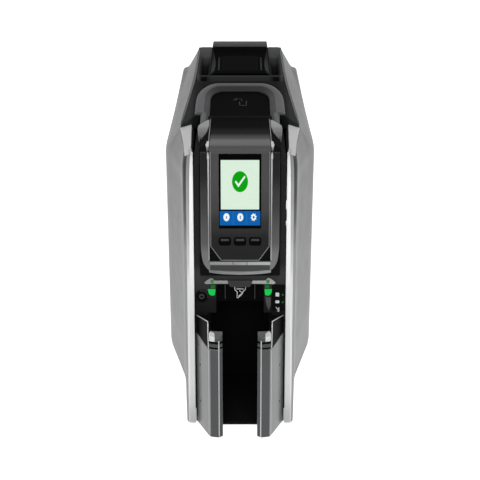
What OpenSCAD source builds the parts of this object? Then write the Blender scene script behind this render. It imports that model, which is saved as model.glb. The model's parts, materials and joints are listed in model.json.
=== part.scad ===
// Desktop card printer: hinged top cover with a touch panel, rear input hopper, front output hopper.
// Millimetres. +X right, -Y front, +Z up. The origin is the centre of the footprint, on the desk.

/* [Body] */
// Overall width across the flared side panels
body_w = 157; // [140:1:190]
// Overall depth from the hopper lips to the rear panel
body_d = 440; // [400:1:530]
// Overall height, desk to the top of the input hopper cover
body_h = 285; // [262:1:345]
// How far the hopper walls stand out in front of the body
hopper_reach = 26; // [20:1:34]
// Rise of the front face for each millimetre that it leans back
lean_run = 6; // [5:0.5:9]
// Wall of the plastic casings
wall = 2.5; // [1.8:0.1:3]
// Height of the rubber feet
foot_h = 2; // [1.5:0.5:5]

/* [Front] */
// Width of the black front column between the silver strips
column_w = 89; // [86:1:96]
// How far the column face lies behind the silver strips
column_set_back = 3; // [2:0.5:5]
// Width of a silver front strip at its foot
strip_w = 6; // [4:0.5:8]
// Width of the narrow nose, outside the strips
nose_w = 107; // [104:1:120]

/* [Cards] */
// Width of a card
card_w = 54; // [50:0.5:60]
// Length of a card
card_l = 86; // [80:0.5:92]
// Free space around a card in its bins
card_room = 1.5; // [1:0.25:3]
// Depth of the card path below the rear deck
path_drop = 162; // [155:1:170]

/* [Display] */
// Width of the smoked surround
surround_w = 76; // [74:0.5:77]
// Width of the dark panel inside the surround
panel_w = 58.4; // [56:0.2:62]
// Width of the glass
glass_w = 40; // [36:0.5:46]
// Height of the glass
glass_h = 72; // [60:1:76]
// Width of a menu key
key_w = 11.4; // [9:0.2:12]
// Height of a menu key
key_h = 8; // [6:0.5:10]
// Distance between menu keys
key_pitch = 14.6; // [13:0.1:16]
// Travel of the keys and of the power button
key_travel = 0.8; // [0.5:0.1:1.2]

/* [Drive] */
// Radius of the card rollers
roller_r = 8; // [7:0.25:9]
// Radius of the pinch rollers
pinch_r = 5; // [4:0.25:6]
// Radius of the roller shafts
shaft_r = 3; // [2.5:0.25:3.5]
// Gear module
gear_m = 0.8; // [0.7:0.05:0.9]
// Radius of the belt pulleys
pulley_r = 7; // [6:0.5:7.5]
// Width between the steel frame plates, for a 54 mm card
frame_gap = 66; // [64:0.5:70]
// Thickness of the steel frame plates
frame_t = 1.5; // [1:0.1:2]

/* [Fits] */
// Gap between pieces that move past each other
run_gap = 0.4; // [0.3:0.05:0.6]
// Radial clearance of a shaft in its bore
bore_fit = 0.06; // [0.03:0.01:0.1]

/* [Hidden] */
$fn = 48;

// Overall frame
half_w = body_w / 2;
rear_y = body_d / 2;
face_y = -rear_y + hopper_reach;
lean = atan(1 / lean_run);
deck_z = body_h - 9;
top_z = body_h - 2;
floor_t = 3;
base_z = foot_h;
inside_z = base_z + floor_t;
rear_t = 3;
side_end_y = rear_y - rear_t - 0.3;

// Display, worked down from the top of the cover
glass_top_z = top_z - 5.5;
glass_foot_z = glass_top_z - glass_h;
key_z = glass_foot_z - 13;
panel_foot_z = key_z - 19.8;
surround_foot_z = panel_foot_z - 13.4;
cover_foot_z = surround_foot_z - 1.9;
panel_t = 2.4;
key_xs = [-key_pitch, 0, key_pitch];
surround_t = 4;
skin = 0.2;

// Card path and card spaces
path_z = cover_foot_z - 43.5;
card_half = card_w / 2 + card_room;
mouth_top_z = path_z + 33;
mouth_half = 23.5;
hopper_z = path_z + 4;
lip_z = path_z - 2;
hopper_wall_t = 2.5;
lip_half = card_half - 11.5;
hopper_bay_half = card_half + hopper_wall_t + run_gap;
hopper_back_y = -rear_y + 24 + card_l + 2;

// Front column
col_half = column_w / 2;
col_depth = column_set_back * cos(lean) - 0.05;
seam_in = col_half + run_gap;
column_depth = 22;
cover_half = surround_w / 2 + 0.6;
cheek_in = cover_half + run_gap;
wing_front_y = face_y + 136;
trim_foot_z = cover_foot_z - 8;
lamp_z = path_z + 25.5;
lamp_x = 27;
status_x = 37.8;
status_h = 27;
status_z = hopper_z + 2.6 + status_h / 2;
power_x = -37.6;
power_z = path_z + 21.5;
power_r = 5;
ring_r = 6.6;

// Cover hinge
hinge_y = rear_y - 140;
hinge_z = deck_z - 14;
barrel_r = 12.5;
pin_r = 2.5;
lug_r = 9;
module_depth = 25;
deck_front_y = hinge_y + 14.4;

// Arch handle and release panel
arch_rear_y = hinge_y - 18;
arch_bar = 22;
arch_half = 46.8;
leg_half = cover_half + 0.4;
leg_w = 6;
release_rear_y = arch_rear_y - arch_bar - 1;
release_front_y = wing_front_y + 10;
release_half = 32.8;
release_z = deck_z - 1;
release_t = 2.5;
tongue_z = release_z - release_t - 8;
latch_arm_y = release_front_y + 13;

// Rollers and gears
feed_teeth = 60;
idler_teeth = 24;
pick_teeth = 30;
pinion_teeth = 16;
takeup_teeth = 50;
ribbon_pinion_teeth = 12;
gear_t = 4;
standard_card_w = 54;
frame_half = (frame_gap + card_w - standard_card_w) / 2;
gear_x = frame_half + frame_t + 2;
belt_x = gear_x + gear_t + 1;
belt_t = 1.2;
belt_w = 3.6;
head_y = hinge_y - 80;
feed_y = head_y + 60;
idler_y = feed_y + gear_m * (feed_teeth + idler_teeth) / 2;
pick_y = idler_y + gear_m * (idler_teeth + pick_teeth) / 2;
exit_y = hopper_back_y + 16;
roller_z = path_z - roller_r;
pinch_z = path_z + pinch_r + 0.5;
clean_y = feed_y + 21;
clean_r = 6;
clean_z = path_z + clean_r + 0.5;
pinch_shaft_r = 2;
pinion_hole_r = 4.5;
motor_z = roller_z - gear_m * (feed_teeth + pinion_teeth) / 2;
motor_w = 35.2;
motor_l = 32;
bush_r = shaft_r + 2;
roller_shafts = [pick_y, feed_y, head_y, exit_y];
light_shafts = [[feed_y, pinch_z], [exit_y, pinch_z], [clean_y, clean_z]];

// Ribbon and printhead
takeup_y = head_y - 86;
takeup_z = path_z + 58;
supply_y = head_y + 40;
supply_z = path_z + 62;
core_r = 6;
hub_r = 3;
takeup_r = 11;
supply_r = 17;
ribbon_half = 28;
ribbon_motor_z = takeup_z - gear_m * (takeup_teeth + ribbon_pinion_teeth) / 2;
ribbon_motor_r = 11.5;
head_foot_z = path_z + 1.2;
head_pivot_z = path_z + 30;
keeper_y = hopper_back_y - 9;
keeper_z = path_z + 41;
keeper_r = 2.5;
latch_y = keeper_y - 7;
latch_pivot_z = path_z + 100;
latch_pin_r = 2;

// Input hopper
bin_front_y = pick_y - 13;
bin_rear_y = bin_front_y + card_l + 2 * card_room;
bin_t = 2;
bin_top_z = deck_z - wall - 0.3;
lid_half = 33.5;
lid_front_y = deck_front_y + 9;
lid_rear_y = rear_y - 4;
lid_hinge_y = rear_y - 9;
lid_hinge_z = deck_z - 5;
lid_pin_r = 1.5;
lid_knuckle_r = 4;

// Rear electronics
board_x = frame_half + frame_t + 10;
board_t = 1.6;
board_z = 15;
board_h = path_z - 24;
board_rear_y = rear_y - 18;
port_z = [for (i = [0:2]) board_z + (i + 0.5) * board_h / 3];
fan_w = 50;
fan_d = 12;
fan_y = rear_y - rear_t - 0.3 - fan_d;
fan_z = path_z / 2;
frame_front_y = hopper_back_y - 18;
frame_rear_y = rear_y - 18;
frame_top_z = deck_z - 40;
foot_r = 7;
screw_r = 2;
panel_screw_x = half_w - 15;

// ---------- shared shapes ----------

// Where the leaning front face lies at a height
function front_y(z) = face_y + z / lean_run;

// Points along an arc, in order from angle a to angle b
function arc(cx, cy, r, a, b, n = 8) =
  [for (i = [0:n]) let (t = a + (b - a) * i / n) [cx + r * cos(t), cy + r * sin(t)]];

module block(xs, ys, zs)
  translate([xs[0], ys[0], zs[0]])
    cube([xs[1] - xs[0], ys[1] - ys[0], zs[1] - zs[0]]);

// A block on both sides of the middle
module block_pair(xs, ys, zs) {
  block(xs, ys, zs);
  block([-xs[1], -xs[0]], ys, zs);
}

// A cylinder along X
module rod(r, x0, x1, y, z)
  translate([x0, y, z]) rotate([0, 90, 0]) cylinder(r = r, h = x1 - x0);

// A cylinder along Y
module bar_y(r, x, y0, y1, z)
  translate([x, y0, z]) rotate([-90, 0, 0]) cylinder(r = r, h = y1 - y0);

// An outline in Y and Z, carried along X
module side_profile(points, x0, x1)
  translate([x0, 0, 0]) rotate([90, 0, 90]) linear_extrude(x1 - x0) polygon(points);

// An outline in X and Z, carried along Y
module front_profile(points, y0, y1)
  translate([0, y1, 0]) rotate([90, 0, 0]) linear_extrude(y1 - y0) polygon(points);

// Places its children on the front face at a height: X right, Y into the body, Z up the face
module on_face(z)
  translate([0, front_y(z), z]) rotate([-lean, 0, 0]) children();

// An outline seen square to the front face (X, up the face), between two depths
module face_plate(points, depth0, depth1)
  translate([0, depth1, 0]) rotate([90, 0, 0]) linear_extrude(depth1 - depth0) polygon(points);

function rounded_rect(w, h, r, cx = 0, cy = 0) = concat(
  arc(cx + w / 2 - r, cy + h / 2 - r, r, 0, 90, 4),
  arc(cx - w / 2 + r, cy + h / 2 - r, r, 90, 180, 4),
  arc(cx - w / 2 + r, cy - h / 2 + r, r, 180, 270, 4),
  arc(cx + w / 2 - r, cy - h / 2 + r, r, 270, 360, 4));

// A closed skin over rings of points, each ring with the same number of points
module loft(rings) {
  n = len(rings[0]);
  last = (len(rings) - 1) * n;
  sides = [for (r = [0:len(rings) - 2], i = [0:n - 1])
    let (a = r * n + i, b = r * n + (i + 1) % n)
      [[a, b, b + n], [a, b + n, a + n]]];
  polyhedron(
    points = [for (ring = rings, p = ring) p],
    faces = concat(
      [[for (i = [n - 1:-1:0]) i]],
      [for (pair = sides, face = pair) face],
      [[for (i = [0:n - 1]) last + i]]));
}

// ---------- casings ----------

// Half width of the roof crest, where the silver panels meet the black deck and cover
crest_front_y = wing_front_y - 2;
crest_rear_y = hinge_y + 10;
crest_front = half_w - 16.7;
crest_mid = half_w - 27.3;
crest_rear = half_w - 29;
function crest(y) = y < crest_rear_y
  ? crest_front + (crest_mid - crest_front) * (y - crest_front_y) / (crest_rear_y - crest_front_y)
  : crest_mid + (crest_rear - crest_mid) * (y - crest_rear_y) / (side_end_y - crest_rear_y);

belt_z = deck_z - 40;
nose_half = nose_w / 2;
flare_y = face_y + 84;
widest_y = face_y + 165;
foot_places = [[col_half - 4, flare_y - 24], [half_w - 28, rear_y - 30]];
feet = [for (side = [-1, 1], p = foot_places) [side * p[0], p[1]]];

// Rings of the right side panel: inner foot, outer foot, belt, ridge, crest, inner top
side_rings = [
  [[seam_in, face_y, base_z], [seam_in + strip_w, face_y, base_z],
   [seam_in + 4, front_y(deck_z - 26), deck_z - 26], [seam_in + 3.9, front_y(deck_z - 20), deck_z - 20],
   [seam_in + 3.8, front_y(deck_z - 14), deck_z - 14], [seam_in, front_y(deck_z - 14), deck_z - 14]],
  [[seam_in, face_y + 6, base_z], [nose_half, face_y + 6, base_z],
   [nose_half + 1.5, face_y + 59, deck_z - 26], [nose_half + 1, face_y + 59, deck_z - 19],
   [nose_half + 0.5, face_y + 59, deck_z - 12], [seam_in, face_y + 59, deck_z - 11]],
  [[seam_in, flare_y, base_z], [nose_half + 5, flare_y, base_z],
   [nose_half + 5, flare_y + 2, deck_z - 24], [nose_half + 4.5, flare_y + 15, deck_z - 19],
   [nose_half + 4, flare_y + 28, deck_z - 14], [seam_in, wing_front_y + 9, deck_z - 8.5]],
  [[crest(widest_y) - 1, widest_y, base_z], [half_w, widest_y, base_z],
   [half_w, widest_y, belt_z],
   [(half_w + crest_front) / 2, (widest_y + crest_front_y) / 2, (belt_z + deck_z - 6) / 2],
   [crest_front, crest_front_y, deck_z - 6], [crest_front - 1, crest_front_y, deck_z - 6]],
  [[crest_mid - 1, crest_rear_y, base_z], [half_w, crest_rear_y, base_z],
   [half_w - 3.8, crest_rear_y, deck_z - 33], [half_w - 10.6, crest_rear_y, deck_z - 23.5],
   [crest_mid, crest_rear_y, deck_z], [crest_mid - 1, crest_rear_y, deck_z]],
  [[crest_rear - 1, side_end_y, base_z], [half_w - 2.5, side_end_y, base_z],
   [half_w - 7, side_end_y, deck_z - 27], [half_w - 14.5, side_end_y, deck_z - 25],
   [crest_rear, side_end_y, deck_z], [crest_rear - 1, side_end_y, deck_z]]
];

module side_panel() {
  difference() {
    loft(side_rings);
    translate([-wall, wall, -wall]) loft(side_rings);
  }
  intersection() {
    loft(side_rings);
    side_profile([[face_y - 1, base_z], [front_y(deck_z) - 1, deck_z],
      [front_y(deck_z) + 12, deck_z], [face_y + 12, base_z]], seam_in, seam_in + wall);
  }
}

module right_side_panel()
  color("silver") side_panel();

module left_side_panel()
  color("silver") mirror([1, 0, 0]) side_panel();

// A list of points and its mirror image across the middle, as one outline
function both_sides(points) =
  concat(points, [for (i = [len(points) - 1:-1:0]) [-points[i][0], points[i][1]]]);

// Footprint inside the side panels, with a bay at the front for the output hopper
module base_outline() {
  flare_slope = (half_w - nose_half - 5) / (widest_y - flare_y);
  inset = wall * (1 + flare_slope) + 0.3;
  front = face_y + column_set_back + column_depth + 1;
  polygon(both_sides([
    [hopper_bay_half, hopper_back_y + 3], [hopper_bay_half, front], [nose_half - inset, front],
    [nose_half + 5 - inset, flare_y], [half_w - inset, widest_y], [half_w - inset, crest_rear_y],
    [half_w - 2.5 - inset, side_end_y - run_gap]]));
}

module base_chassis()
  color("dimgray") {
    difference() {
      translate([0, 0, base_z]) linear_extrude(floor_t) base_outline();
      for (p = feet)
        translate([p[0], p[1], base_z - 1]) cylinder(r = screw_r + 0.2, h = floor_t + 2);
    }
    // bosses that hold the side panels
    for (y = [widest_y + 8, rear_y - 30])
      block_pair([half_w - 14, half_w - 6], [y - 5, y + 5], [inside_z, inside_z + 14]);
  }

module rubber_feet()
  color("black")
    for (p = feet)
      translate([p[0], p[1], 0]) cylinder(r = foot_r, h = base_z);

module rear_panel() {
  foot = half_w - 2.5 - wall - run_gap;
  half = [[0, base_z], [foot, base_z], [foot - 4.5, deck_z - 28], [half_w - 15.5, deck_z - 26],
    [crest_rear - 1.5, deck_z - 1], [lid_half + 2.5, deck_z - 1], [lid_half + 2.5, deck_z - 20], [0, deck_z - 20]];
  color("black") difference() {
    front_profile(both_sides(half), rear_y - rear_t, rear_y);
    for (i = [-4:4])
      block([i * 5 - 1.2, i * 5 + 1.2], [rear_y - rear_t - 1, rear_y + 1], [fan_z - 18, fan_z + 18]);
    for (z = port_z)
      block([board_x + board_t - 0.4, board_x + board_t + 17.4], [rear_y - rear_t - 1, rear_y + 1],
        [z - 7.2, z + 7.2]);
    // slot for a security lock
    block([-half_w + 22, -half_w + 29], [rear_y - rear_t - 1, rear_y + 1],
      [path_z / 2 - 1.5, path_z / 2 + 1.5]);
    for (x = [-panel_screw_x, panel_screw_x], z = [inside_z + 12, deck_z - 50])
      bar_y(screw_r + 0.2, x, rear_y - rear_t - 1, rear_y + 1, z);
  }
}

module case_screws()
  color("gray") {
    for (x = [-panel_screw_x, panel_screw_x], z = [inside_z + 12, deck_z - 50]) {
      bar_y(screw_r, x, rear_y - rear_t - 6, rear_y, z);
      bar_y(screw_r + 1.5, x, rear_y - rear_t - 1.5, rear_y - rear_t, z);
    }
  }

// The black front, with the mouth of the output hopper and the cheeks beside the display
module front_column() {
  set_back = column_set_back;
  outer = [[front_y(base_z) + set_back, base_z], [front_y(cover_foot_z) + set_back, cover_foot_z - run_gap],
    [front_y(cover_foot_z) + set_back + module_depth, cover_foot_z - run_gap],
    [face_y + set_back + column_depth, base_z]];
  inner = [[face_y + set_back + wall, base_z - 1],
    [front_y(cover_foot_z) + set_back + wall, cover_foot_z - run_gap - wall],
    [front_y(cover_foot_z) + 80, cover_foot_z - run_gap - wall], [face_y + 80, base_z - 1]];
  cheek = [[front_y(cover_foot_z) + set_back, cover_foot_z - run_gap],
    [front_y(deck_z - 10) + set_back, deck_z - 10], [wing_front_y - 3, deck_z - 10],
    [wing_front_y - 3, deck_z - 16], [front_y(deck_z - 40) + 34, deck_z - 30],
    [front_y(cover_foot_z) + 34, cover_foot_z - run_gap]];
  color("black") {
    difference() {
      side_profile(outer, -col_half, col_half);
      side_profile(inner, -col_half + wall, col_half - wall);
      block([-hopper_bay_half, hopper_bay_half], [face_y - 5, face_y + 90], [base_z - 1, hopper_z]);
      block([-mouth_half, mouth_half], [face_y - 5, face_y + 90], [hopper_z - 1, mouth_top_z]);
      on_face(power_z) rotate([-90, 0, 0]) translate([power_x, 0, -1]) cylinder(r = ring_r, h = 12);
      for (x = [-lamp_x, lamp_x])
        on_face(lamp_z) block([x - 4.2, x + 4.2], [-1, 12], [-3.2, 3.2]);
    }
    for (side = [-1, 1])
      intersection() {
        side_profile(cheek, -col_half, col_half);
        block(side > 0 ? [cheek_in, col_half] : [-col_half, -cheek_in], [face_y, hinge_y], [0, body_h]);
      }
  }
}

// The shoulders around the input hopper
module rear_deck() {
  module outline(inset)
    polygon([[-crest(deck_front_y) + 1.4 + inset, deck_front_y + inset],
      [crest(deck_front_y) - 1.4 - inset, deck_front_y + inset],
      [crest_rear - 1.4 - inset, side_end_y - inset], [-crest_rear + 1.4 + inset, side_end_y - inset]]);
  color("black") difference() {
    translate([0, 0, deck_z - 14]) linear_extrude(14) outline(0);
    translate([0, 0, deck_z - 15]) linear_extrude(15 - wall) outline(wall);
    block([-card_half - bin_t, card_half + bin_t], [bin_front_y - bin_t, bin_rear_y + bin_t], [0, body_h]);
    block([-lid_half - 1, lid_half + 1], [bin_rear_y + bin_t + 3, rear_y], [0, body_h]);
  }
  // ears that hold the lid's hinge pin
  color("black") difference() {
    block_pair([lid_half + run_gap, lid_half + 4], [lid_hinge_y - 5, side_end_y],
      [deck_z - 13, deck_z - 0.5]);
    rod(lid_pin_r + bore_fit, -body_w, body_w, lid_hinge_y, lid_hinge_z);
  }
}

module slot_trim() {
  outline = [[-35.4, 0.5], [-28.5, 5.5], [-26, 5.5], [-24, 3.6], [-11, 3.6], [-9, 5.5], [9, 5.5], [11, 3.6],
    [24, 3.6], [26, 5.5], [28.5, 5.5], [35.4, 0.5], [33, -0.6], [-33, -0.6]];
  color("silver") on_face(trim_foot_z) face_plate(outline, 0.4, col_depth);
}

module slot_light_guides()
  color("limegreen")
    for (x = [-lamp_x, lamp_x])
      on_face(lamp_z) block([x - 4, x + 4], [column_set_back - 0.6, column_set_back + 6], [-3, 3]);

module status_panel()
  color("dimgray")
    on_face(status_z)
      face_plate(rounded_rect(11.4, status_h, 1.5, status_x, 0), col_depth - 0.8, col_depth);

module power_button_ring()
  color("dimgray") on_face(power_z) translate([power_x, 0, 0]) rotate([-90, 0, 0])
    difference() {
      translate([0, 0, column_set_back - 1.2]) cylinder(r = ring_r - 0.1, h = 9);
      translate([0, 0, column_set_back - 2]) cylinder(r = power_r + run_gap, h = 8);
      translate([0, 0, column_set_back]) cylinder(r = 1.5, h = 12);
    }

module power_button()
  color("black") on_face(power_z) translate([power_x, 0, 0]) rotate([-90, 0, 0]) {
    translate([0, 0, column_set_back - 1]) cylinder(r = power_r, h = 4);
    translate([0, 0, column_set_back + 2]) cylinder(r = 1, h = 7);
  }

// Wall behind the mouth, over the cards, with two guide ribs and the feed hood
module mouth_liner() {
  back_y = front_y(mouth_top_z) + 16;
  color("black") {
    block([-col_half + wall + 0.3, col_half - wall - 0.3], [back_y, back_y + 2],
      [hopper_z + 3, mouth_top_z + 6]);
    block_pair([13.4, 14.8], [back_y - 5, back_y], [hopper_z + 10, mouth_top_z]);
    block([-10, 10], [back_y - 3, back_y], [hopper_z + 16, mouth_top_z]);
    block([-card_half, card_half], [back_y + 2, hopper_back_y - 6], [hopper_z + 3, hopper_z + 5]);
  }
}

// ---------- output hopper ----------

// Plan of the right hopper wall, square to the leaning face: X, and Y out of the body
hopper_front = -hopper_reach * cos(lean);
hopper_plan = [
  [col_half - 3.2, column_set_back - 0.3], [card_half + 1.7, hopper_front + 4],
  [card_half - 0.5, hopper_front + 1.5], [card_half - 7.5, hopper_front],
  [lip_half, hopper_front + 2.6], [lip_half, hopper_front + 4.4], [card_half - 1, hopper_front + 5],
  [card_half, hopper_front + 6], [card_half, column_set_back - 0.3]];

module lean_extrude(points, z0, z1)
  intersection() {
    translate([0, face_y, 0]) rotate([-lean, 0, 0]) translate([0, 0, -20])
      linear_extrude(z1 + 40) polygon(points);
    block([0, half_w], [-body_d, body_d], [z0, z1]);
  }

module hopper_wall() {
  difference() {
    lean_extrude(hopper_plan, base_z, hopper_z + 2);
    // the lip is lower than the wall
    translate([0, front_y(lip_z) + hopper_front, lip_z])
      block([0, card_half + 1.5], [-10, hopper_reach - 8], [0, 20]);
  }
  // liner back to the end wall
  side_profile([[face_y + 1, base_z], [front_y(hopper_z) + 1, hopper_z - run_gap],
    [hopper_back_y, hopper_z - run_gap], [hopper_back_y, base_z]],
    card_half + 0.2, card_half + hopper_wall_t);
}

module hopper_right_wall()
  color("gray") hopper_wall();

module hopper_left_wall()
  color("gray") mirror([1, 0, 0]) hopper_wall();

module hopper_floor() {
  color("black") {
    block([-card_half + 0.2, card_half - 0.2], [-rear_y + 23, hopper_back_y], [base_z, base_z + floor_t]);
    difference() {
      block([-card_half - hopper_wall_t, card_half + hopper_wall_t], [hopper_back_y, hopper_back_y + 2],
        [base_z, path_z + 12]);
      block([-card_half, card_half], [hopper_back_y - 1, hopper_back_y + 3], [path_z - 3, path_z + 3.5]);
    }
  }
}

// ---------- frame, bins and fixed parts of the drive ----------

crossbars = [[hopper_back_y + 10, inside_z + 12], [head_y, inside_z + 25],
  [frame_rear_y - 30, inside_z + 12]];
crossbar_r = 3.5;

module frame_plate(x0) {
  outline = [[frame_front_y, inside_z], [frame_rear_y, inside_z], [frame_rear_y, frame_top_z],
    [bin_front_y - 4, frame_top_z], [hinge_y + lug_r, hinge_z], [hinge_y - lug_r, hinge_z],
    [feed_y, takeup_z + 20], [frame_front_y, takeup_z + 20]];
  x1 = x0 + frame_t;
  color("lightsteelblue") difference() {
    union() {
      side_profile(outline, x0, x1);
      rod(lug_r, x0, x1, hinge_y, hinge_z);
    }
    rod(pin_r + bore_fit, x0 - 1, x1 + 1, hinge_y, hinge_z);
    for (y = roller_shafts)
      rod(bush_r, x0 - 1, x1 + 1, y, roller_z);
    for (p = light_shafts)
      rod(pinch_shaft_r + bore_fit, x0 - 1, x1 + 1, p[0], p[1]);
    rod(shaft_r, x0 - 1, x1 + 1, idler_y, roller_z);
    rod(pinion_hole_r, x0 - 1, x1 + 1, feed_y, motor_z);
    rod(pinion_hole_r, x0 - 1, x1 + 1, takeup_y, ribbon_motor_z);
    for (p = crossbars)
      rod(2, x0 - 1, x1 + 1, p[0], p[1]);
    for (p = [[takeup_y, takeup_z], [supply_y, supply_z]]) {
      rod(hub_r + bore_fit, x0 - 1, x1 + 1, p[0], p[1]);
      block([x0 - 1, x1 + 1], [p[0] - hub_r - bore_fit, p[0] + hub_r + bore_fit], [p[1], body_h]);
    }
  }
}

module left_frame_plate()
  frame_plate(-frame_half - frame_t);

module right_frame_plate()
  frame_plate(frame_half);

module frame_crossbars()
  color("silver") {
    for (p = crossbars) {
      rod(crossbar_r, -frame_half, frame_half, p[0], p[1]);
      rod(2, -frame_half - frame_t - 1, frame_half + frame_t + 1, p[0], p[1]);
    }
    rod(keeper_r, -frame_half, frame_half, keeper_y, keeper_z);
  }

module shaft_bushes()
  color("goldenrod")
    for (y = roller_shafts, side = [-1, 1])
      difference() {
        union() {
          rod(bush_r - 0.02, side * (frame_half + frame_t / 2) - frame_t / 2,
            side * (frame_half + frame_t / 2) + frame_t / 2, y, roller_z);
          rod(bush_r + 1, side > 0 ? frame_half - 1 : -frame_half, side > 0 ? frame_half : -frame_half + 1,
            y, roller_z);
        }
        rod(shaft_r + bore_fit, -body_w, body_w, y, roller_z);
      }

// Rails that carry the card between the rollers
module card_guides() {
  stops = concat([exit_y], [head_y], [feed_y]);
  color("gray")
    for (i = [0:1]) {
      y0 = stops[i] + roller_r + 2;
      y1 = stops[i + 1] - roller_r - 2;
      block_pair([card_half - 5, frame_half], [y0, y1], [path_z - 3.2, path_z - 0.3]);
      block_pair([card_half, frame_half], [y0, y1], [path_z - 0.3, path_z + 2]);
      block([-card_half + 5, card_half - 5], [y0 + 4, y0 + 8], [path_z - 3.2, path_z - 0.6]);
    }
}

module input_bin()
  color("black") difference() {
    block([-card_half - bin_t, card_half + bin_t], [bin_front_y - bin_t, bin_rear_y + bin_t],
      [path_z - bin_t - 0.3, bin_top_z]);
    block([-card_half, card_half], [bin_front_y, bin_rear_y], [path_z - 0.3, bin_top_z + 1]);
    block([-14, 14], [pick_y - roller_r - 2, pick_y + roller_r + 2], [0, path_z + 1]);
    block([-card_half, card_half], [bin_front_y - bin_t - 1, bin_front_y + 1],
      [path_z - 0.3, path_z + 1.2]);
    // grip cut to lift cards out
    block([-12, 12], [bin_front_y - bin_t - 1, bin_front_y + 1], [path_z + 40, bin_top_z + 1]);
  }

module card_weight()
  color("dimgray") {
    z0 = path_z + 0.2;
    block([-card_half + run_gap, card_half - run_gap], [bin_front_y + run_gap, bin_rear_y - run_gap],
      [z0, z0 + 4]);
    block([-6, 6], [pick_y + 18, pick_y + 30], [z0 + 4, z0 + 14]);
    block([-10, 10], [pick_y + 14, pick_y + 34], [z0 + 14, z0 + 17]);
  }

// A loop round the end pulleys, with the platen pulley on its straight runs
module drive_belt() {
  inner_r = pulley_r + run_gap;
  module loop(r, x0, x1)
    side_profile(concat(arc(feed_y, roller_z, r, -90, 90, 16), arc(exit_y, roller_z, r, 90, 270, 16)),
      x0, x1);
  color("black") difference() {
    loop(inner_r + belt_t, -belt_x - belt_w, -belt_x);
    loop(inner_r, -belt_x - belt_w - 1, -belt_x + 1);
  }
}

module feed_motor()
  color("dimgray") difference() {
    block([-frame_half, -frame_half + motor_l], [feed_y - motor_w / 2, feed_y + motor_w / 2],
      [motor_z - motor_w / 2, motor_z + motor_w / 2]);
    rod(2.5 + bore_fit, -frame_half - 1, -frame_half + 6, feed_y, motor_z);
  }

module ribbon_motor()
  color("silver") difference() {
    rod(ribbon_motor_r, -frame_half, -frame_half + 26, takeup_y, ribbon_motor_z);
    rod(1.5 + bore_fit, -frame_half - 1, -frame_half + 6, takeup_y, ribbon_motor_z);
  }

module main_board() {
  front = board_rear_y - 150;
  color("darkgreen")
    block([board_x, board_x + board_t], [front, board_rear_y], [board_z, board_z + board_h]);
  color("black") {
    for (i = [0:2])
      block([board_x + board_t, board_x + board_t + 3], [front + 12 + i * 30, front + 30 + i * 30],
        [board_z + 12, board_z + 26]);
    block([board_x + board_t, board_x + board_t + 9], [front + 8, front + 60],
      [board_z + board_h - 10, board_z + board_h - 4]);
  }
  // standoffs to the right frame plate
  color("goldenrod")
    for (y = [front + 6, board_rear_y - 6], z = [board_z + 5, board_z + board_h - 5])
      rod(2.5, frame_half + frame_t, board_x, y, z);
}

port_x = board_x + board_t;
port_front_y = rear_y - 21;

module power_inlet()
  color("black") difference() {
    block([port_x, port_x + 14], [port_front_y, rear_y - 1], [port_z[0] - 6, port_z[0] + 6]);
    difference() {
      bar_y(4, port_x + 7, rear_y - 14, rear_y, port_z[0]);
      bar_y(1.2, port_x + 7, rear_y - 15, rear_y - 4, port_z[0]);
    }
  }

module usb_port()
  color("silver") difference() {
    block([port_x, port_x + 12], [port_front_y, rear_y - 1], [port_z[1] - 5.5, port_z[1] + 5.5]);
    difference() {
      block([port_x + 1.5, port_x + 10.5], [rear_y - 14, rear_y], [port_z[1] - 4.2, port_z[1] + 4.2]);
      block([port_x + 3.2, port_x + 8.8], [rear_y - 15, rear_y - 3], [port_z[1] + 1.2, port_z[1] + 3.4]);
    }
  }

module network_port()
  color("silver") difference() {
    block([port_x, port_x + 16], [port_front_y, rear_y - 1], [port_z[2] - 6.8, port_z[2] + 6.8]);
    block([port_x + 2, port_x + 14], [rear_y - 14, rear_y], [port_z[2] - 4.5, port_z[2] + 4.5]);
  }

module fan_frame() {
  hole_r = fan_w / 2 - 1.5;
  back = fan_y + fan_d;
  color("black") {
    difference() {
      block([-fan_w / 2, fan_w / 2], [fan_y, back], [fan_z - fan_w / 2, fan_z + fan_w / 2]);
      bar_y(hole_r, 0, fan_y - 1, back + 1, fan_z);
    }
    // hub plate, spokes and axle
    bar_y(9, 0, back - 2.2, back - 0.2, fan_z);
    for (a = [90:120:359])
      translate([0, 0, fan_z]) rotate([0, a, 0])
        block([6, hole_r + 0.7], [back - 2, back - 0.4], [-1.2, 1.2]);
    bar_y(1.5, 0, fan_y + 2, back - 1, fan_z);
  }
}

module fan_rotor()
  color("dimgray") {
    difference() {
      bar_y(8, 0, fan_y + 0.5, fan_y + fan_d - 2.6, fan_z);
      bar_y(1.5 + bore_fit, 0, fan_y + 1, fan_y + fan_d, fan_z);
    }
    for (a = [0:60:359])
      translate([0, fan_y + 2, fan_z]) rotate([0, a, 0]) rotate([35, 0, 0])
        block([7.5, fan_w / 2 - 2.6], [0.8, 2], [-3.5, 3]);
  }

module hinge_pins()
  color("silver") {
    rod(pin_r, -crest_mid + 4, crest_mid - 4, hinge_y, hinge_z);
    rod(lid_pin_r, -lid_half - 3.5, lid_half + 3.5, lid_hinge_y, lid_hinge_z);
  }

// ---------- rollers, gears and spools ----------

// Outline of a spur gear with a tooth centred at an angle, and thin teeth that leave backlash
function gear_outline(teeth, phase) =
  let (p = 360 / teeth, root = gear_m * (teeth / 2 - 1.15), tip = gear_m * (teeth / 2 + 0.8))
    [for (i = [0:teeth - 1], k = [[root, -0.23], [tip, -0.09], [tip, 0.09], [root, 0.23]])
      let (a = phase + (i + k[1]) * p) [k[0] * cos(a), k[0] * sin(a)]];

module gear(teeth, phase, y, z, x0 = -gear_x - gear_t, x1 = -gear_x)
  translate([0, y, z]) side_profile(gear_outline(teeth, phase), x0, x1);

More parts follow.
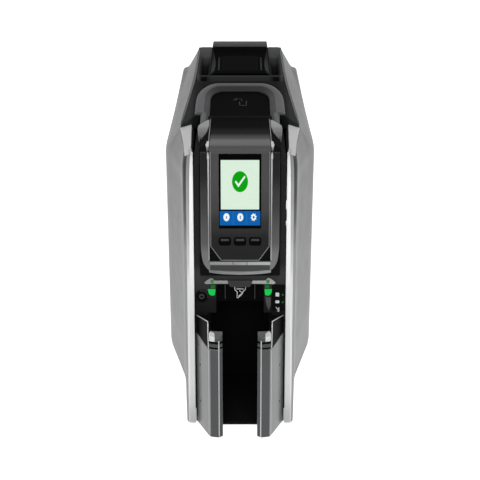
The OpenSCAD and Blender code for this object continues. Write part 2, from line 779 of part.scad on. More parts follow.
module roller(y, r, half_l, end_l, end_r) {
  color("dimgray") rod(r, -half_l, half_l, y, roller_z);
  color("silver") rod(shaft_r, -end_l, end_r, y, roller_z);
}

module pulley(y)
  color("white") rod(pulley_r, -belt_x - belt_w - 0.5, -belt_x + 0.5, y, roller_z);

right_end = frame_half + frame_t + 2;
left_end = belt_x + belt_w + 2;

module pick_roller() {
  roller(pick_y, roller_r, 12, gear_x + gear_t + 1, right_end);
  color("white") gear(pick_teeth, 0, pick_y, roller_z);
}

module feed_roller() {
  roller(feed_y, roller_r, card_half - 2, left_end, right_end);
  color("white") gear(feed_teeth, 0, feed_y, roller_z);
  pulley(feed_y);
}

module platen_roller() {
  roller(head_y, roller_r, card_half - 0.5, left_end, right_end);
  pulley(head_y);
}

module exit_roller() {
  roller(exit_y, roller_r, card_half - 2, left_end, right_end);
  pulley(exit_y);
}

module idler_gear()
  color("white") {
    gear(idler_teeth, 180 + 180 / idler_teeth, idler_y, roller_z);
    rod(shaft_r - bore_fit, -gear_x - gear_t - 1, -frame_half, idler_y, roller_z);
  }

module light_roller(p, r)
  color("gray") {
    rod(r, -card_half + 3, card_half - 3, p[0], p[1]);
    rod(pinch_shaft_r, -frame_half - frame_t - 1, frame_half + frame_t + 1, p[0], p[1]);
  }

module feed_pinch_roller()
  light_roller(light_shafts[0], pinch_r);

module exit_pinch_roller()
  light_roller(light_shafts[1], pinch_r);

module cleaning_roller()
  light_roller(light_shafts[2], clean_r);

module motor_pinion()
  color("gold") {
    gear(pinion_teeth, 90 + 180 / pinion_teeth, feed_y, motor_z);
    rod(2.5, -gear_x - gear_t - 1, -frame_half + 5, feed_y, motor_z);
  }

module ribbon_pinion()
  color("gold") {
    gear(ribbon_pinion_teeth, 90 + 180 / ribbon_pinion_teeth, takeup_y, ribbon_motor_z);
    rod(1.5, -gear_x - gear_t - 1, -frame_half + 5, takeup_y, ribbon_motor_z);
  }

module spool(y, z, roll_r) {
  color("darkslategray") rod(roll_r, -ribbon_half, ribbon_half, y, z);
  color("white") {
    rod(core_r, -frame_half + 1, frame_half - 1, y, z);
    rod(hub_r, -frame_half - frame_t - 1, frame_half + frame_t + 1, y, z);
  }
}

module ribbon_supply_spool()
  spool(supply_y, supply_z, supply_r);

module ribbon_takeup_spool() {
  spool(takeup_y, takeup_z, takeup_r);
  color("white") {
    gear(takeup_teeth, -90, takeup_y, takeup_z);
    rod(hub_r, -gear_x - gear_t - 1, 0, takeup_y, takeup_z);
  }
}

// ---------- cover ----------

// Outlines of the cover, drawn in by an inset for its hollow
function cover_plan(e) =
  let (side = [
    [crest_mid - 1.5 - e, hinge_y + e], [crest_mid - 1.5 - e, hinge_y - 16 + e],
    [crest_front - 1.5 - e, wing_front_y + 0.8 + e],
    [seam_in - e, wing_front_y + 10 + e], [cover_half - e, wing_front_y + 10 + e],
    [cover_half - e, face_y - 1 + e]])
    both_sides(side);

function cover_section(e) =
  [[-half_w, 0], [half_w, 0], [half_w, deck_z - 12 - e], [crest_front, deck_z - 3.5 - e],
   [arch_half + 1, deck_z + 3 - e], [leg_half - 6, top_z - e], [-leg_half + 6, top_z - e],
   [-arch_half - 1, deck_z + 3 - e], [-crest_front, deck_z - 3.5 - e], [-half_w, deck_z - 12 - e]];

brow_r = 9;
brow_z = top_z - brow_r;
skirt_z = deck_z - 10;

// Roof of the cover, falling from the brow to the hinge
roof_front_z = deck_z + 3.5;
roof_rear_z = deck_z + 0.5;
function roof_z(y) = roof_front_z
  + (roof_rear_z - roof_front_z) * (y - release_front_y) / (release_rear_y - release_front_y);

// Side view of the cover: up the face, over the brow, back to the hinge
function cover_profile(e) = concat(
  [[front_y(cover_foot_z) + e, cover_foot_z + (e > 0 ? wall : 0)]],
  arc(front_y(brow_z) + brow_r, brow_z, brow_r - e, 180, 90, 8),
  [[release_front_y, roof_front_z - e], [release_rear_y, roof_rear_z - e], [hinge_y, deck_z - 0.5 - e],
   [hinge_y + e, skirt_z - e * 4], [front_y(cover_foot_z) + module_depth + e, skirt_z - e * 4],
   [front_y(cover_foot_z) + module_depth + e, cover_foot_z + (e > 0 ? wall : 0)]]);

module cover_volume(e)
  intersection() {
    linear_extrude(body_h) polygon(cover_plan(e));
    side_profile(cover_profile(e), -half_w, half_w);
    front_profile(cover_section(e), -rear_y, rear_y);
  }

module cover_shell()
  color("black") difference() {
    union() {
      difference() {
        cover_volume(0);
        cover_volume(wall);
        block([-release_half - run_gap, release_half + run_gap],
          [release_front_y - run_gap, release_rear_y + run_gap], [skirt_z - 1, body_h]);
      }
      rod(barrel_r, -crest_mid + 1.6, crest_mid - 1.6, hinge_y, hinge_z);
      // hangers for the latch
      block_pair([9.4, 12], [latch_y - 5, latch_y + 5], [latch_pivot_z - 6, top_z - 1.8]);
    }
    rod(latch_pin_r + bore_fit, -13, 13, latch_y, latch_pivot_z);
    rod(pin_r + bore_fit, -body_w, body_w, hinge_y, hinge_z);
    // gaps for the hinge lugs of the frame plates
    block_pair([frame_half - run_gap, frame_half + frame_t + run_gap],
      [hinge_y - barrel_r - 1, hinge_y + barrel_r + 1],
      [hinge_z - barrel_r - 1, hinge_z + lug_r + run_gap]);
  }

// Outline of the arch: legs beside the brow, a bar behind the release panel
function arch_side(half_front, half_rear, rear, r) = [
  [half_front, face_y + 74], [half_front, release_front_y], [half_rear, rear - r - 22]];

module cover_handle() {
  outer_r = 20;
  inner_r = 13;
  inner_rear_y = arch_rear_y - arch_bar;
  inner_half = release_half + 0.7;
  right_outer = concat(arch_side(leg_half, arch_half, arch_rear_y, outer_r),
    arc(arch_half - outer_r, arch_rear_y - outer_r, outer_r, 0, 90));
  right_inner = concat([[inner_half, face_y + 74]],
    arc(inner_half - inner_r, inner_rear_y - inner_r, inner_r, 0, 90));
  color("dimgray") intersection() {
    translate([0, 0, deck_z - 1]) linear_extrude(12) difference() {
      polygon(both_sides(right_outer));
      polygon(both_sides(right_inner));
    }
    difference() {
      side_profile([[face_y + 60, deck_z - 1], [face_y + 60, top_z + 0.6], [release_front_y, deck_z + 6.2],
        [inner_rear_y, deck_z + 5.4], [arch_rear_y, deck_z + 3.4], [arch_rear_y + 1, deck_z - 1]],
        -half_w, half_w);
      cover_volume(-skin);
    }
  }
}

module release_panel()
  color("black") {
    block([-release_half, release_half], [release_front_y, release_rear_y],
      [release_z - release_t, release_z]);
    block([-6, 6], [release_front_y + 6, release_front_y + 12], [tongue_z, release_z - release_t]);
  }

// Lever from the release panel down to the keeper bar in the frame
module cover_latch()
  color("gray") {
    block([-8, 8], [latch_y - 2, latch_y + 2], [keeper_z - 7, latch_pivot_z + 5]);
    block([-8, 8], [latch_y, keeper_y - keeper_r - 0.8], [keeper_z - 7, keeper_z - 4]);
    rod(4.5, -9, 9, latch_y, latch_pivot_z);
    rod(latch_pin_r, -12, 12, latch_y, latch_pivot_z);
    // arm back to the tongue of the release panel
    side_profile([
      [latch_y, latch_pivot_z - 3], [latch_arm_y, tongue_z - 6], [latch_arm_y, tongue_z - run_gap],
      [latch_arm_y - 8, tongue_z - run_gap], [latch_y, latch_pivot_z + 4]], -4, 4);
  }

// ---------- display ----------

function up(z0, z) = (z - z0) / cos(lean);

module display_surround() {
  half = surround_w / 2;
  foot = up(surround_foot_z, surround_foot_z);
  top = up(surround_foot_z, glass_top_z + 2);
  outline = concat(
    [[half, top], [half, up(surround_foot_z, surround_foot_z + 24)],
     [half - 3, up(surround_foot_z, surround_foot_z + 11)], [half - 9, foot + 1.5], [half - 12, foot]],
    [[-half + 12, foot], [-half + 9, foot + 1.5], [-half + 3, up(surround_foot_z, surround_foot_z + 11)],
     [-half, up(surround_foot_z, surround_foot_z + 24)], [-half, top]]);
  window = up(surround_foot_z, panel_foot_z) - 0.3;
  color("slategray") on_face(surround_foot_z) difference() {
    face_plate(outline, -surround_t, -skin);
    face_plate([[panel_w / 2 + 0.3, window], [panel_w / 2 + 0.3, top + 1], [-panel_w / 2 - 0.3, top + 1],
      [-panel_w / 2 - 0.3, window]], -surround_t - 1, 1);
  }
}

module display_panel() {
  half = panel_w / 2;
  top = up(panel_foot_z, glass_top_z + 2);
  chamfer = 10;
  outline = [[half, top], [half, 15], [half - chamfer, 0], [-half + chamfer, 0], [-half, 15], [-half, top]];
  glass = up(panel_foot_z, (glass_foot_z + glass_top_z) / 2);
  color("black") on_face(panel_foot_z) difference() {
    face_plate(outline, -panel_t, -skin);
    face_plate(rounded_rect(glass_w + 0.6, glass_h / cos(lean) + 0.6, 1, 0, glass), -panel_t - 1, 1);
    for (x = key_xs)
      face_plate(rounded_rect(key_w + 0.6, key_h + 0.6, 2.5, x, up(panel_foot_z, key_z)), -panel_t - 1, 1);
  }
}

module display_glass()
  color("aliceblue") on_face((glass_foot_z + glass_top_z) / 2)
    face_plate(rounded_rect(glass_w, glass_h / cos(lean), 0.8), -panel_t - 0.2, -skin);

module menu_key(x)
  color("dimgray") on_face(key_z)
    face_plate(rounded_rect(key_w, key_h, 2.2, x, 0), -panel_t - 0.5, -skin - key_travel);

module menu_key_left() menu_key(key_xs[0]);
module menu_key_middle() menu_key(key_xs[1]);
module menu_key_right() menu_key(key_xs[2]);

module display_board()
  color("darkgreen") on_face((key_z + glass_top_z) / 2) {
    face_plate(rounded_rect(surround_w - 12, glass_h + 10, 1), wall + 2, wall + 3.6);
    for (x = [-26, 26], z = [-36, 36])
      translate([x, 0, z]) rotate([-90, 0, 0]) translate([0, 0, wall]) cylinder(r = 2.5, h = 2);
  }

// ---------- printhead and lid ----------

module printhead_bracket()
  color("silver") {
    block([-card_half, card_half], [head_y - 1, head_y + 1], [head_pivot_z + 6, skirt_z]);
    difference() {
      block_pair([card_half, card_half + 1.5], [head_y - 5, head_y + 5], [head_pivot_z - 5, skirt_z]);
      rod(2 + bore_fit, -body_w, body_w, head_y, head_pivot_z);
    }
    // ears that hang it from the cover beside the release panel
    block_pair([card_half, release_half + 4], [head_y - 5, head_y + 5], [skirt_z - 2, skirt_z]);
    block_pair([release_half + 2, release_half + 4], [head_y - 5, head_y + 5],
      [skirt_z - 2, roof_z(head_y + 5) - wall - 0.3]);
  }

module printhead()
  color("gainsboro") {
    block([-card_half + run_gap, card_half - run_gap], [head_y - 5, head_y + 5],
      [head_foot_z + 4, head_pivot_z - 6]);
    block([-card_half + 1, card_half - 1], [head_y - 1, head_y + 1], [head_foot_z, head_foot_z + 4]);
    block([-10, 10], [head_y - 3, head_y + 3], [head_pivot_z - 6, head_pivot_z + 4]);
    rod(2, -card_half - 1.5, card_half + 1.5, head_y, head_pivot_z);
  }

module input_hopper_cover() {
  outer = concat([[lid_front_y, deck_z + run_gap], [lid_front_y, deck_z + 1.8]],
    [[rear_y - 34, body_h]], arc(lid_rear_y - 5, body_h - 5, 5, 90, 0, 6),
    [[lid_rear_y, deck_z + run_gap]]);
  inner = [[lid_front_y + wall, deck_z - 1], [rear_y - 34, body_h - wall],
    [lid_rear_y - wall, body_h - wall],
    [lid_rear_y - wall, deck_z - 1]];
  color("black") difference() {
    union() {
      difference() {
        side_profile(outer, -lid_half, lid_half);
        side_profile(inner, -lid_half + wall, lid_half - wall);
      }
      rod(lid_knuckle_r, -lid_half + 4.5, lid_half - 4.5, lid_hinge_y, lid_hinge_z);
      block([-lid_half + 4.5, lid_half - 4.5], [lid_hinge_y - 2, lid_hinge_y + 2],
        [lid_hinge_z, body_h - 1]);
    }
    rod(lid_pin_r + bore_fit, -body_w, body_w, lid_hinge_y, lid_hinge_z);
  }
}

// ---------- assembly ----------

base_chassis();
left_side_panel();
right_side_panel();
rear_panel();
front_column();
rear_deck();
slot_trim();
slot_light_guides();
status_panel();
power_button_ring();
mouth_liner();
hopper_left_wall();
hopper_right_wall();
hopper_floor();
left_frame_plate();
right_frame_plate();
frame_crossbars();
card_guides();
input_bin();
shaft_bushes();
drive_belt();
feed_motor();
ribbon_motor();
main_board();
power_inlet();
usb_port();
network_port();
fan_frame();
rubber_feet();
case_screws();
hinge_pins();
cover_shell();
cover_handle();
display_panel();
display_glass();
display_surround();
display_board();
printhead_bracket();
printhead();
release_panel();
cover_latch();
menu_key_left();
menu_key_middle();
menu_key_right();
power_button();
input_hopper_cover();
card_weight();
pick_roller();
feed_roller();
platen_roller();
exit_roller();
cleaning_roller();
feed_pinch_roller();
exit_pinch_roller();
ribbon_supply_spool();
ribbon_takeup_spool();
idler_gear();
motor_pinion();
ribbon_pinion();
fan_rotor();
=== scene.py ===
"""Looks of the desktop card printer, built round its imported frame. Metres, +Z up, front to -Y."""
import json
import math

import bmesh
import bpy
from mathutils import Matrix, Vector


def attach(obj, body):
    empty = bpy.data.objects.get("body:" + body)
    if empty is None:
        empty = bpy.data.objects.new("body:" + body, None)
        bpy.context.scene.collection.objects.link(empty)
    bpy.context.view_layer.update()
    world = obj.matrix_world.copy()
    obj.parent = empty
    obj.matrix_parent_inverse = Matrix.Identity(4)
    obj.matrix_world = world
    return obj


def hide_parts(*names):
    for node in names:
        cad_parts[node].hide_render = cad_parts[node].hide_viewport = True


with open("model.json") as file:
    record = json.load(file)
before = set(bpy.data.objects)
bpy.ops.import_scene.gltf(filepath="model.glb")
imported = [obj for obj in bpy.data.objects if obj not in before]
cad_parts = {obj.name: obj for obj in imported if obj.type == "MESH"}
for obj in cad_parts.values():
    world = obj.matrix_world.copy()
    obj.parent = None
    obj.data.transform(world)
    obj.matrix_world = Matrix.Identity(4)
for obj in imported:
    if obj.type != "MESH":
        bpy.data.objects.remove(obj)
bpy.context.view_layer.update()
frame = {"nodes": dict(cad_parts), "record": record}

MM = 0.001
SIDES = (("left", -1), ("right", 1))

# sizes that several sections share, in mm
LEAN = math.atan(1 / 6)          # the front face leans back
COS, SIN = math.cos(LEAN), math.sin(LEAN)
FACE_Y = -194.0                  # where the front face meets the desk
BASE = 2.0                       # the casings' foot over the desk
DECK_TOP, DECK_FOOT = 275.9, 262.0        # top and underside of the black pieces behind the cover
SEAM = 44.9                      # half width between the side casings at the front
CASING_END = 216.7               # rear end of the side casings
SOFT_ANGLE = 28                  # edges sharper than this, in degrees, are softened


# ---------- materials ----------

class Nodes:
    """A material's node tree with short names for the nodes that repeat."""

    def __init__(self, name):
        self.mat = bpy.data.materials.new(name)
        self.mat.use_nodes = True
        self.tree = self.mat.node_tree
        self.bsdf = self.tree.nodes["Principled BSDF"]

    def new(self, kind, **values):
        node = self.tree.nodes.new(kind)
        for key, value in values.items():
            if hasattr(node, key):
                setattr(node, key, value)
            else:
                node.inputs[key.replace("_", " ")].default_value = value
        return node

    def link(self, a, b):
        self.tree.links.new(a, b)

    def place(self):
        if not hasattr(self, "coords"):
            self.coords = self.new("ShaderNodeTexCoord").outputs["Object"]
        return self.coords

    def noise(self, scale, detail=2.0):
        node = self.new("ShaderNodeTexNoise", Scale=scale, Detail=detail)
        self.link(self.place(), node.inputs["Vector"])
        return node.outputs["Fac"]

    def ramp(self, source, stops, mode="LINEAR"):
        node = self.new("ShaderNodeValToRGB")
        node.color_ramp.interpolation = mode
        cells = node.color_ramp.elements
        while len(cells) > 1:
            cells.remove(cells[-1])
        cells[0].position = stops[0][0]
        for i, (pos, col) in enumerate(stops):
            cell = cells.new(pos) if i else cells[0]
            cell.color = (*col, 1)
        self.link(source, node.inputs["Fac"])
        return node.outputs["Color"]

    def spread(self, source, low, high):
        node = self.new("ShaderNodeMapRange", To_Min=low, To_Max=high)
        self.link(source, node.inputs["Value"])
        return node.outputs["Result"]

    def maths(self, kind, a, b=None):
        """The result of one sum; b is a socket, a number or left out."""
        node = self.new("ShaderNodeMath", operation=kind)
        self.link(a, node.inputs[0])
        if isinstance(b, float):
            node.inputs[1].default_value = b
        elif b:
            self.link(b, node.inputs[1])
        return node.outputs["Value"]

    def grade(self, axis, stops, top):
        """Strength along one axis of the object, from stops in mm, as a share of `top`."""
        split = self.new("ShaderNodeSeparateXYZ")
        self.link(self.place(), split.inputs["Vector"])
        along = split.outputs[axis]
        if axis == "X":
            along = self.maths("ABSOLUTE", along)
        low, high = stops[0][0], stops[-1][0]
        spot = self.new("ShaderNodeMapRange", From_Min=low * MM, From_Max=high * MM)
        self.link(along, spot.inputs["Value"])
        shares = [((at - low) / (high - low), (strength / top,) * 3) for at, strength in stops]
        return self.ramp(spot.outputs["Result"], shares, "EASE")

    def blend(self, kind, a, b, factor=1.0):
        mix = self.new("ShaderNodeMix", data_type="RGBA", blend_type=kind)
        mix.inputs["Factor"].default_value = factor
        self.link(a, mix.inputs["A"])
        self.link(b, mix.inputs["B"])
        return mix.outputs["Result"]

    def paint_light(self, color, painted_light):
        """The colour made stronger or weaker along an axis, as painted light and shade; of two axes, the
        stronger counts.
        """
        top = max(strength for stops in painted_light.values() for _, strength in stops)
        grade, *others = [self.grade(axis, stops, top) for axis, stops in painted_light.items()]
        for other in others:
            grade = self.blend("LIGHTEN", grade, other)
        return self.blend("MULTIPLY", color, grade)

    def bump(self, source, strength, distance):
        node = self.new("ShaderNodeBump", Strength=strength, Distance=distance)
        self.link(source, node.inputs["Height"])
        self.link(node.outputs["Normal"], self.bsdf.inputs["Normal"])

    def set(self, **values):
        """Values that are the same all over the surface, on the shader's own sockets."""
        for key, value in values.items():
            self.bsdf.inputs[key.replace("_", " ")].default_value = value


def shade(color, by):
    return tuple(min(1.0, c * by) for c in color)


MAT = {}


def moulded(name, color, rough, surface, metallic=0.0, coat=0.0, specular=0.5, vary=0.12, wear=0.25,
            painted_light=None):
    """Moulded or painted surface: fine grain, soft colour drift, and lighter rubbed edges.

    The stops given for an axis, each a place in mm and how strong the colour is there, paint light and shade
    into the colour."""
    grain, depth = surface
    n = Nodes(name)
    col = n.ramp(n.noise(18, 3), [(0.3, shade(color, 1 - vary)), (0.7, shade(color, 1 + vary))])
    edge = n.ramp(n.new("ShaderNodeNewGeometry").outputs["Pointiness"],
                  [(0.5, (0,) * 3), (0.62, (wear,) * 3)])
    if painted_light:
        col = n.paint_light(col, painted_light)
    n.link(n.blend("ADD", col, edge, 0.12), n.bsdf.inputs["Base Color"])
    n.link(n.spread(n.noise(60, 2), rough - 0.05, rough + 0.05), n.bsdf.inputs["Roughness"])
    n.bump(n.noise(grain, 3), 0.25, depth * MM)
    n.set(Metallic=metallic, Coat_Weight=coat, Coat_Roughness=0.08, Specular_IOR_Level=specular)
    MAT[name] = n.mat


def metal(name, color, rough, stretch, scale):
    """Bare metal with brush marks; stretch is how they are drawn out, scale how many there are."""
    n = Nodes(name)
    scaled = n.new("ShaderNodeMapping", Scale=stretch)
    n.link(n.place(), scaled.inputs["Vector"])
    brushed = n.new("ShaderNodeTexNoise", Scale=scale, Detail=4.0)
    n.link(scaled.outputs["Vector"], brushed.inputs["Vector"])
    grain = brushed.outputs["Fac"]
    n.link(n.ramp(grain, [(0.3, shade(color, 0.85)), (0.7, shade(color, 1.1))]), n.bsdf.inputs["Base Color"])
    n.link(n.spread(grain, rough - 0.08, rough + 0.08), n.bsdf.inputs["Roughness"])
    n.bump(grain, 0.15, 0.02 * MM)
    n.set(Metallic=1.0)
    MAT[name] = n.mat


def glow(name, color, strength):
    """A lit surface, such as a lamp or the picture on the screen."""
    n = Nodes(name)
    n.link(n.ramp(n.noise(500), [(0.3, shade(color, 0.96)), (0.7, color)]), n.bsdf.inputs["Emission Color"])
    n.set(Base_Color=(*shade(color, 0.04), 1), Emission_Strength=strength, Roughness=0.5,
          Specular_IOR_Level=0.02)
    MAT[name] = n.mat


# grain of each kind of surface: how many marks, and how deep in mm
PAINT, SATIN, SLEEK, MATT = (5200, 0.012), (5200, 0.008), (5200, 0.006), (2600, 0.03)
FINE, SMOOTH, GLOSS, CLEAR = (2600, 0.02), (2600, 0.01), (900, 0.004), (260, 0.004)

# silver casings: their faces, front strip, nose and ledge. Light and shade are painted into them: the faces
# darken towards the top with a painted highlight along the belt, the bright strip is painted light, and the
# nose and ledge are lit and shaded copies of the paint
moulded("silver_paint", (0.146, 0.1475, 0.1485), 0.42, PAINT, metallic=0.3, vary=0.03, wear=0.1,
        painted_light={"Z": [(0, 0.93), (120, 0.81), (185, 0.6), (225, 0.52), (240, 0.66), (252, 0.46), (285, 0.33)]})
moulded("strip_painted_light", (0.86, 0.865, 0.865), 0.4, SATIN, metallic=0.15, vary=0.02, wear=0.05,
        painted_light={"Z": [(0, 0.72), (60, 0.72), (130, 0.77), (180, 0.97), (248, 1.0), (268, 0.85), (280, 0.62)]})
moulded("nose_painted_light", (0.75, 0.753, 0.755), 0.4, SATIN, metallic=0.2, vary=0.02, wear=0.05,
        painted_light={"Z": [(0, 0.9), (115, 0.9), (145, 0.9), (175, 0.6), (205, 0.4), (235, 0.25), (262, 0.19)]})
moulded("nose_shade", (0.42, 0.422, 0.424), 0.5, PAINT, specular=0.01, vary=0.03, wear=0.05,
        painted_light={"Z": [(0, 1.0), (120, 1.0), (175, 0.95), (190, 0.7), (212, 0.36), (235, 0.2), (262, 0.14),
                   (280, 0.24)]})
moulded("ledge_painted_light", (0.49, 0.492, 0.493), 0.4, SATIN, metallic=0.2, vary=0.02, wear=0.05)
moulded("ledge_shade", (0.06, 0.061, 0.062), 0.42, PAINT, metallic=0.3, specular=0.1, vary=0.03, wear=0.05)
# black and grey mouldings
moulded("black_casing", (0.004, 0.004, 0.0042), 0.6, MATT, specular=0.004, wear=0.03)
# painted light: the front column lighter in a band round the card slot, z 144 to 170, darker above and below
moulded("column_black", (0.04, 0.04, 0.041), 0.5, MATT, specular=0.03, vary=0.08, wear=0.04,
        painted_light={"Z": [(0, 0.15), (100, 0.08), (130, 0.15), (144, 0.7), (158, 1.0), (170, 0.45), (276, 0.3)]})
# painted light: the cover lighter towards its outer edges beside the silver casings
moulded("cover_black", (0.03, 0.031, 0.032), 0.55, MATT, specular=0.005, vary=0.05, wear=0.03,
        painted_light={"X": [(0, 0.12), (40, 0.12), (47, 0.35), (53, 1.0), (63, 1.0)]})
# painted shade and light: the shoulders dark in the middle of their dish and at the front, lighter to the
# rear, at their rims and in a band at the front edge of the bin
moulded("deck_black", (0.12, 0.122, 0.123), 0.55, MATT, specular=0.001, vary=0.05, wear=0.02,
        painted_light={"Y": [(94, 0.01), (96, 0.03), (97.5, 0.26), (100.5, 0.24), (102.5, 0.02), (120, 0.015),
                   (145, 0.06), (165, 0.25), (185, 0.6), (217, 0.85)],
              "X": [(34, 0.25), (36.5, 0.12), (39, 0.02), (44, 0.02), (46, 0.2), (47.5, 0.45), (51, 0.5)]})
moulded("rear_black", (0.018, 0.018, 0.019), 0.55, (1400, 0.05), specular=0.1, vary=0.15, wear=0.1)
moulded("release_black", (0.0025, 0.0025, 0.0026), 0.5, FINE, specular=0.001, wear=0.02)
moulded("handle_grey", (0.066, 0.067, 0.071), 0.45, FINE, specular=0.12, wear=0.08)
# painted shade: a darker copy of the handle grey for the handle's inner slope and wall
moulded("arch_inner_shade", (0.026, 0.026, 0.028), 0.45, FINE, specular=0.08, wear=0.08)
# painted light: the facets beside the arch lit grey, brighter towards the rear
moulded("facet_grey", (0.26, 0.262, 0.265), 0.3, SMOOTH, specular=0.2, vary=0.06,
        painted_light={"Y": [(-124, 0.12), (-112, 0.2), (-100, 0.45), (-86, 0.9), (-70, 1.0)]})
moulded("plate_grey", (0.1, 0.1, 0.102), 0.5, (900, 0.01), specular=0.1, vary=0.05)
moulded("tab_grey", (0.022, 0.022, 0.024), 0.45, FINE, specular=0.1, vary=0.1)
# painted highlight: a lighter band across the cheek round z 128
moulded("cheek_grey", (0.06, 0.062, 0.064), 0.45, FINE, specular=0.1, vary=0.1,
        painted_light={"Z": [(116, 0.3), (128, 1.0), (140, 0.5)]})
# display, keys and signs
# painted reflection: the display panel darker at its foot and lighter towards its top
moulded("panel_black", (0.06, 0.06, 0.062), 0.34, SMOOTH, specular=0.1, vary=0.05, wear=0.03,
        painted_light={"Z": [(172, 0.1), (195, 0.12), (208, 0.35), (228, 0.8), (250, 1.0), (280, 1.0)]})
# painted highlight: the brow lightest where it rolls over at the front, dark further back
moulded("brow_black", (0.19, 0.19, 0.192), 0.4, FINE, specular=0.001, vary=0.05, wear=0.03,
        painted_light={"Y": [(-154, 0.4), (-148, 0.45), (-140, 0.95), (-132, 1.0), (-122, 0.45), (-108, 0.1),
                   (-85, 0.02), (-49, 0.008)]})
moulded("glass", (0.0015, 0.0015, 0.0018), 0.15, (900, 0.002), specular=0.01, vary=0.1, wear=0.0)
# painted highlight: the smoked surround brightest near its foot, darker towards the top
moulded("smoked", (0.17, 0.17, 0.175), 0.24, GLOSS, specular=0.12, vary=0.05, wear=0.05,
        painted_light={"Z": [(162, 1.0), (179, 0.95), (194, 0.52), (235, 0.22), (262, 0.05), (280, 0.03)]})
# painted highlight: the clear edges light grey, darker round z 200 and brightest at the top and low down
moulded("clear_edge", (0.44, 0.445, 0.45), 0.14, (900, 0.003), coat=0.2,
        painted_light={"Z": [(0, 1.0), (150, 1.0), (172, 0.55), (200, 0.42), (240, 0.75), (265, 1.0), (290, 1.0)]})
moulded("bar_clear", (0.24, 0.243, 0.247), 0.16, CLEAR, coat=0.3, vary=0.55)
moulded("bar_foot", (0.14, 0.142, 0.145), 0.2, CLEAR, coat=0.15, vary=0.5)
moulded("waist_grey", (0.035, 0.036, 0.037), 0.3, GLOSS, specular=0.1, vary=0.2)
moulded("panel_line", (0.22, 0.22, 0.23), 0.3, GLOSS, vary=0.05)
moulded("key_black", (0.0015, 0.0015, 0.0018), 0.5, (3000, 0.03), specular=0.01, wear=0.02)
# painted highlight on the upper half of each key
moulded("key_grey", (0.045, 0.045, 0.047), 0.4, (3000, 0.02), specular=0.02, vary=0.1)
moulded("sign_white", (0.55, 0.56, 0.57), 0.5, SMOOTH, vary=0.05)
moulded("sign_grey", (0.07, 0.071, 0.072), 0.4, SMOOTH, vary=0.06)
# output hopper and bright trim
moulded("hopper_grey", (0.158, 0.16, 0.162), 0.3, SATIN, metallic=0.35, coat=0.3, vary=0.05)
# painted shade and light: the next two are copies of the hopper grey for the lip face and its inner chamfer
moulded("lip_grey", (0.055, 0.056, 0.058), 0.26, SLEEK, metallic=0.2, coat=0.1, specular=0.2, vary=0.05)
moulded("lip_light", (0.045, 0.046, 0.048), 0.25, SLEEK, metallic=0.2, coat=0.1, specular=0.15, vary=0.1)
moulded("gloss_black", (0.003, 0.003, 0.0035), 0.3, GLOSS, specular=0.015, vary=0.2, wear=0.02)
moulded("bright_trim", (0.2, 0.202, 0.205), 0.25, (700, 0.006), metallic=0.5, vary=0.25)
moulded("rim_silver", (0.45, 0.455, 0.46), 0.2, (3000, 0.006), metallic=0.5, coat=0.5, vary=0.08)
# input hopper lid: light and shade painted along Y into its black, with a painted highlight along the rear
# crest of the top and painted light on the flanks
moulded("lid_black", (0.0035, 0.0036, 0.0038), 0.5, MATT, specular=0.001, vary=0.05, wear=0.01,
        painted_light={"Y": [(103, 1.0), (150, 0.8), (184, 0.3), (216, 0.5)]})
moulded("lid_top", (0.09, 0.092, 0.092), 0.5, MATT, specular=0.05, vary=0.05, wear=0.02,
        painted_light={"Y": [(184, 0.15), (192, 0.3), (203, 0.65), (212, 1.0), (217, 0.9)]})
moulded("lid_flank", (0.03, 0.031, 0.032), 0.5, MATT, specular=0.01, vary=0.05, wear=0.02,
        painted_light={"Y": [(103, 0.6), (125, 1.0), (150, 0.5), (165, 0.1), (217, 0.3)]})
moulded("lid_window", (0.0055, 0.0056, 0.0058), 0.45, SMOOTH, specular=0.001, vary=0.05, wear=0.02)
# inside
moulded("rubber", (0.022, 0.022, 0.022), 0.72, (1500, 0.06), vary=0.25)
moulded("roller_mix", (0.07, 0.07, 0.072), 0.62, (1800, 0.04), vary=0.2)
moulded("nylon", (0.72, 0.7, 0.64), 0.45, (1200, 0.02), vary=0.06)
moulded("motor", (0.03, 0.03, 0.032), 0.35, (800, 0.03), vary=0.15)
moulded("board_green", (0.012, 0.13, 0.05), 0.35, (1500, 0.02), coat=0.5, vary=0.25)
moulded("ribbon", (0.015, 0.015, 0.022), 0.2, (700, 0.01), coat=0.3, vary=0.3)
# bare metals
metal("steel_plate", (0.56, 0.57, 0.58), 0.38, (1, 1, 12), 160)
metal("bright_steel", (0.66, 0.67, 0.68), 0.22, (30, 1, 1), 200)
metal("socket_steel", (0.6, 0.6, 0.61), 0.3, (1, 1, 20), 300)
metal("screw_steel", (0.3, 0.3, 0.31), 0.35, (1, 1, 1), 900)
metal("brass_bush", (0.62, 0.43, 0.17), 0.35, (1, 1, 1), 900)
metal("aluminium", (0.68, 0.69, 0.7), 0.34, (20, 1, 1), 260)
# what is lit: lamps and the screen, and painted lamp light on and over the trim, which is no lamp
glow("green_light", (0.012, 0.55, 0.085), 1.0)
glow("green_dim", (0.01, 0.3, 0.04), 0.5)
glow("green_tint", (0.12, 0.5, 0.18), 0.35)
glow("screen_pale", (0.72, 0.88, 0.73), 0.95)
glow("screen_green", (0.003, 0.36, 0.004), 0.95)
glow("screen_white", (0.85, 0.9, 0.9), 1.0)
glow("screen_blue", (0.004, 0.12, 0.43), 0.95)
glow("screen_line", (0.02, 0.2, 0.52), 0.95)


# ---------- building helpers ----------

def front_y(z):
    """Y of the leaning front face at a height."""
    return FACE_Y + z / 6


def on_face(x, up, depth, foot):
    """A point across, up and into the leaning face, measured from the height `foot`."""
    return (x, front_y(foot) + depth * COS + up * SIN, foot - depth * SIN + up * COS)


def behind_face(x, depth, z):
    """A point at a real height, `depth` behind the leaning face."""
    return on_face(x, (z + depth * SIN) / COS, depth, 0)


def up(foot, z):
    """How far up the leaning face a height lies from `foot`."""
    return (z - foot) / COS


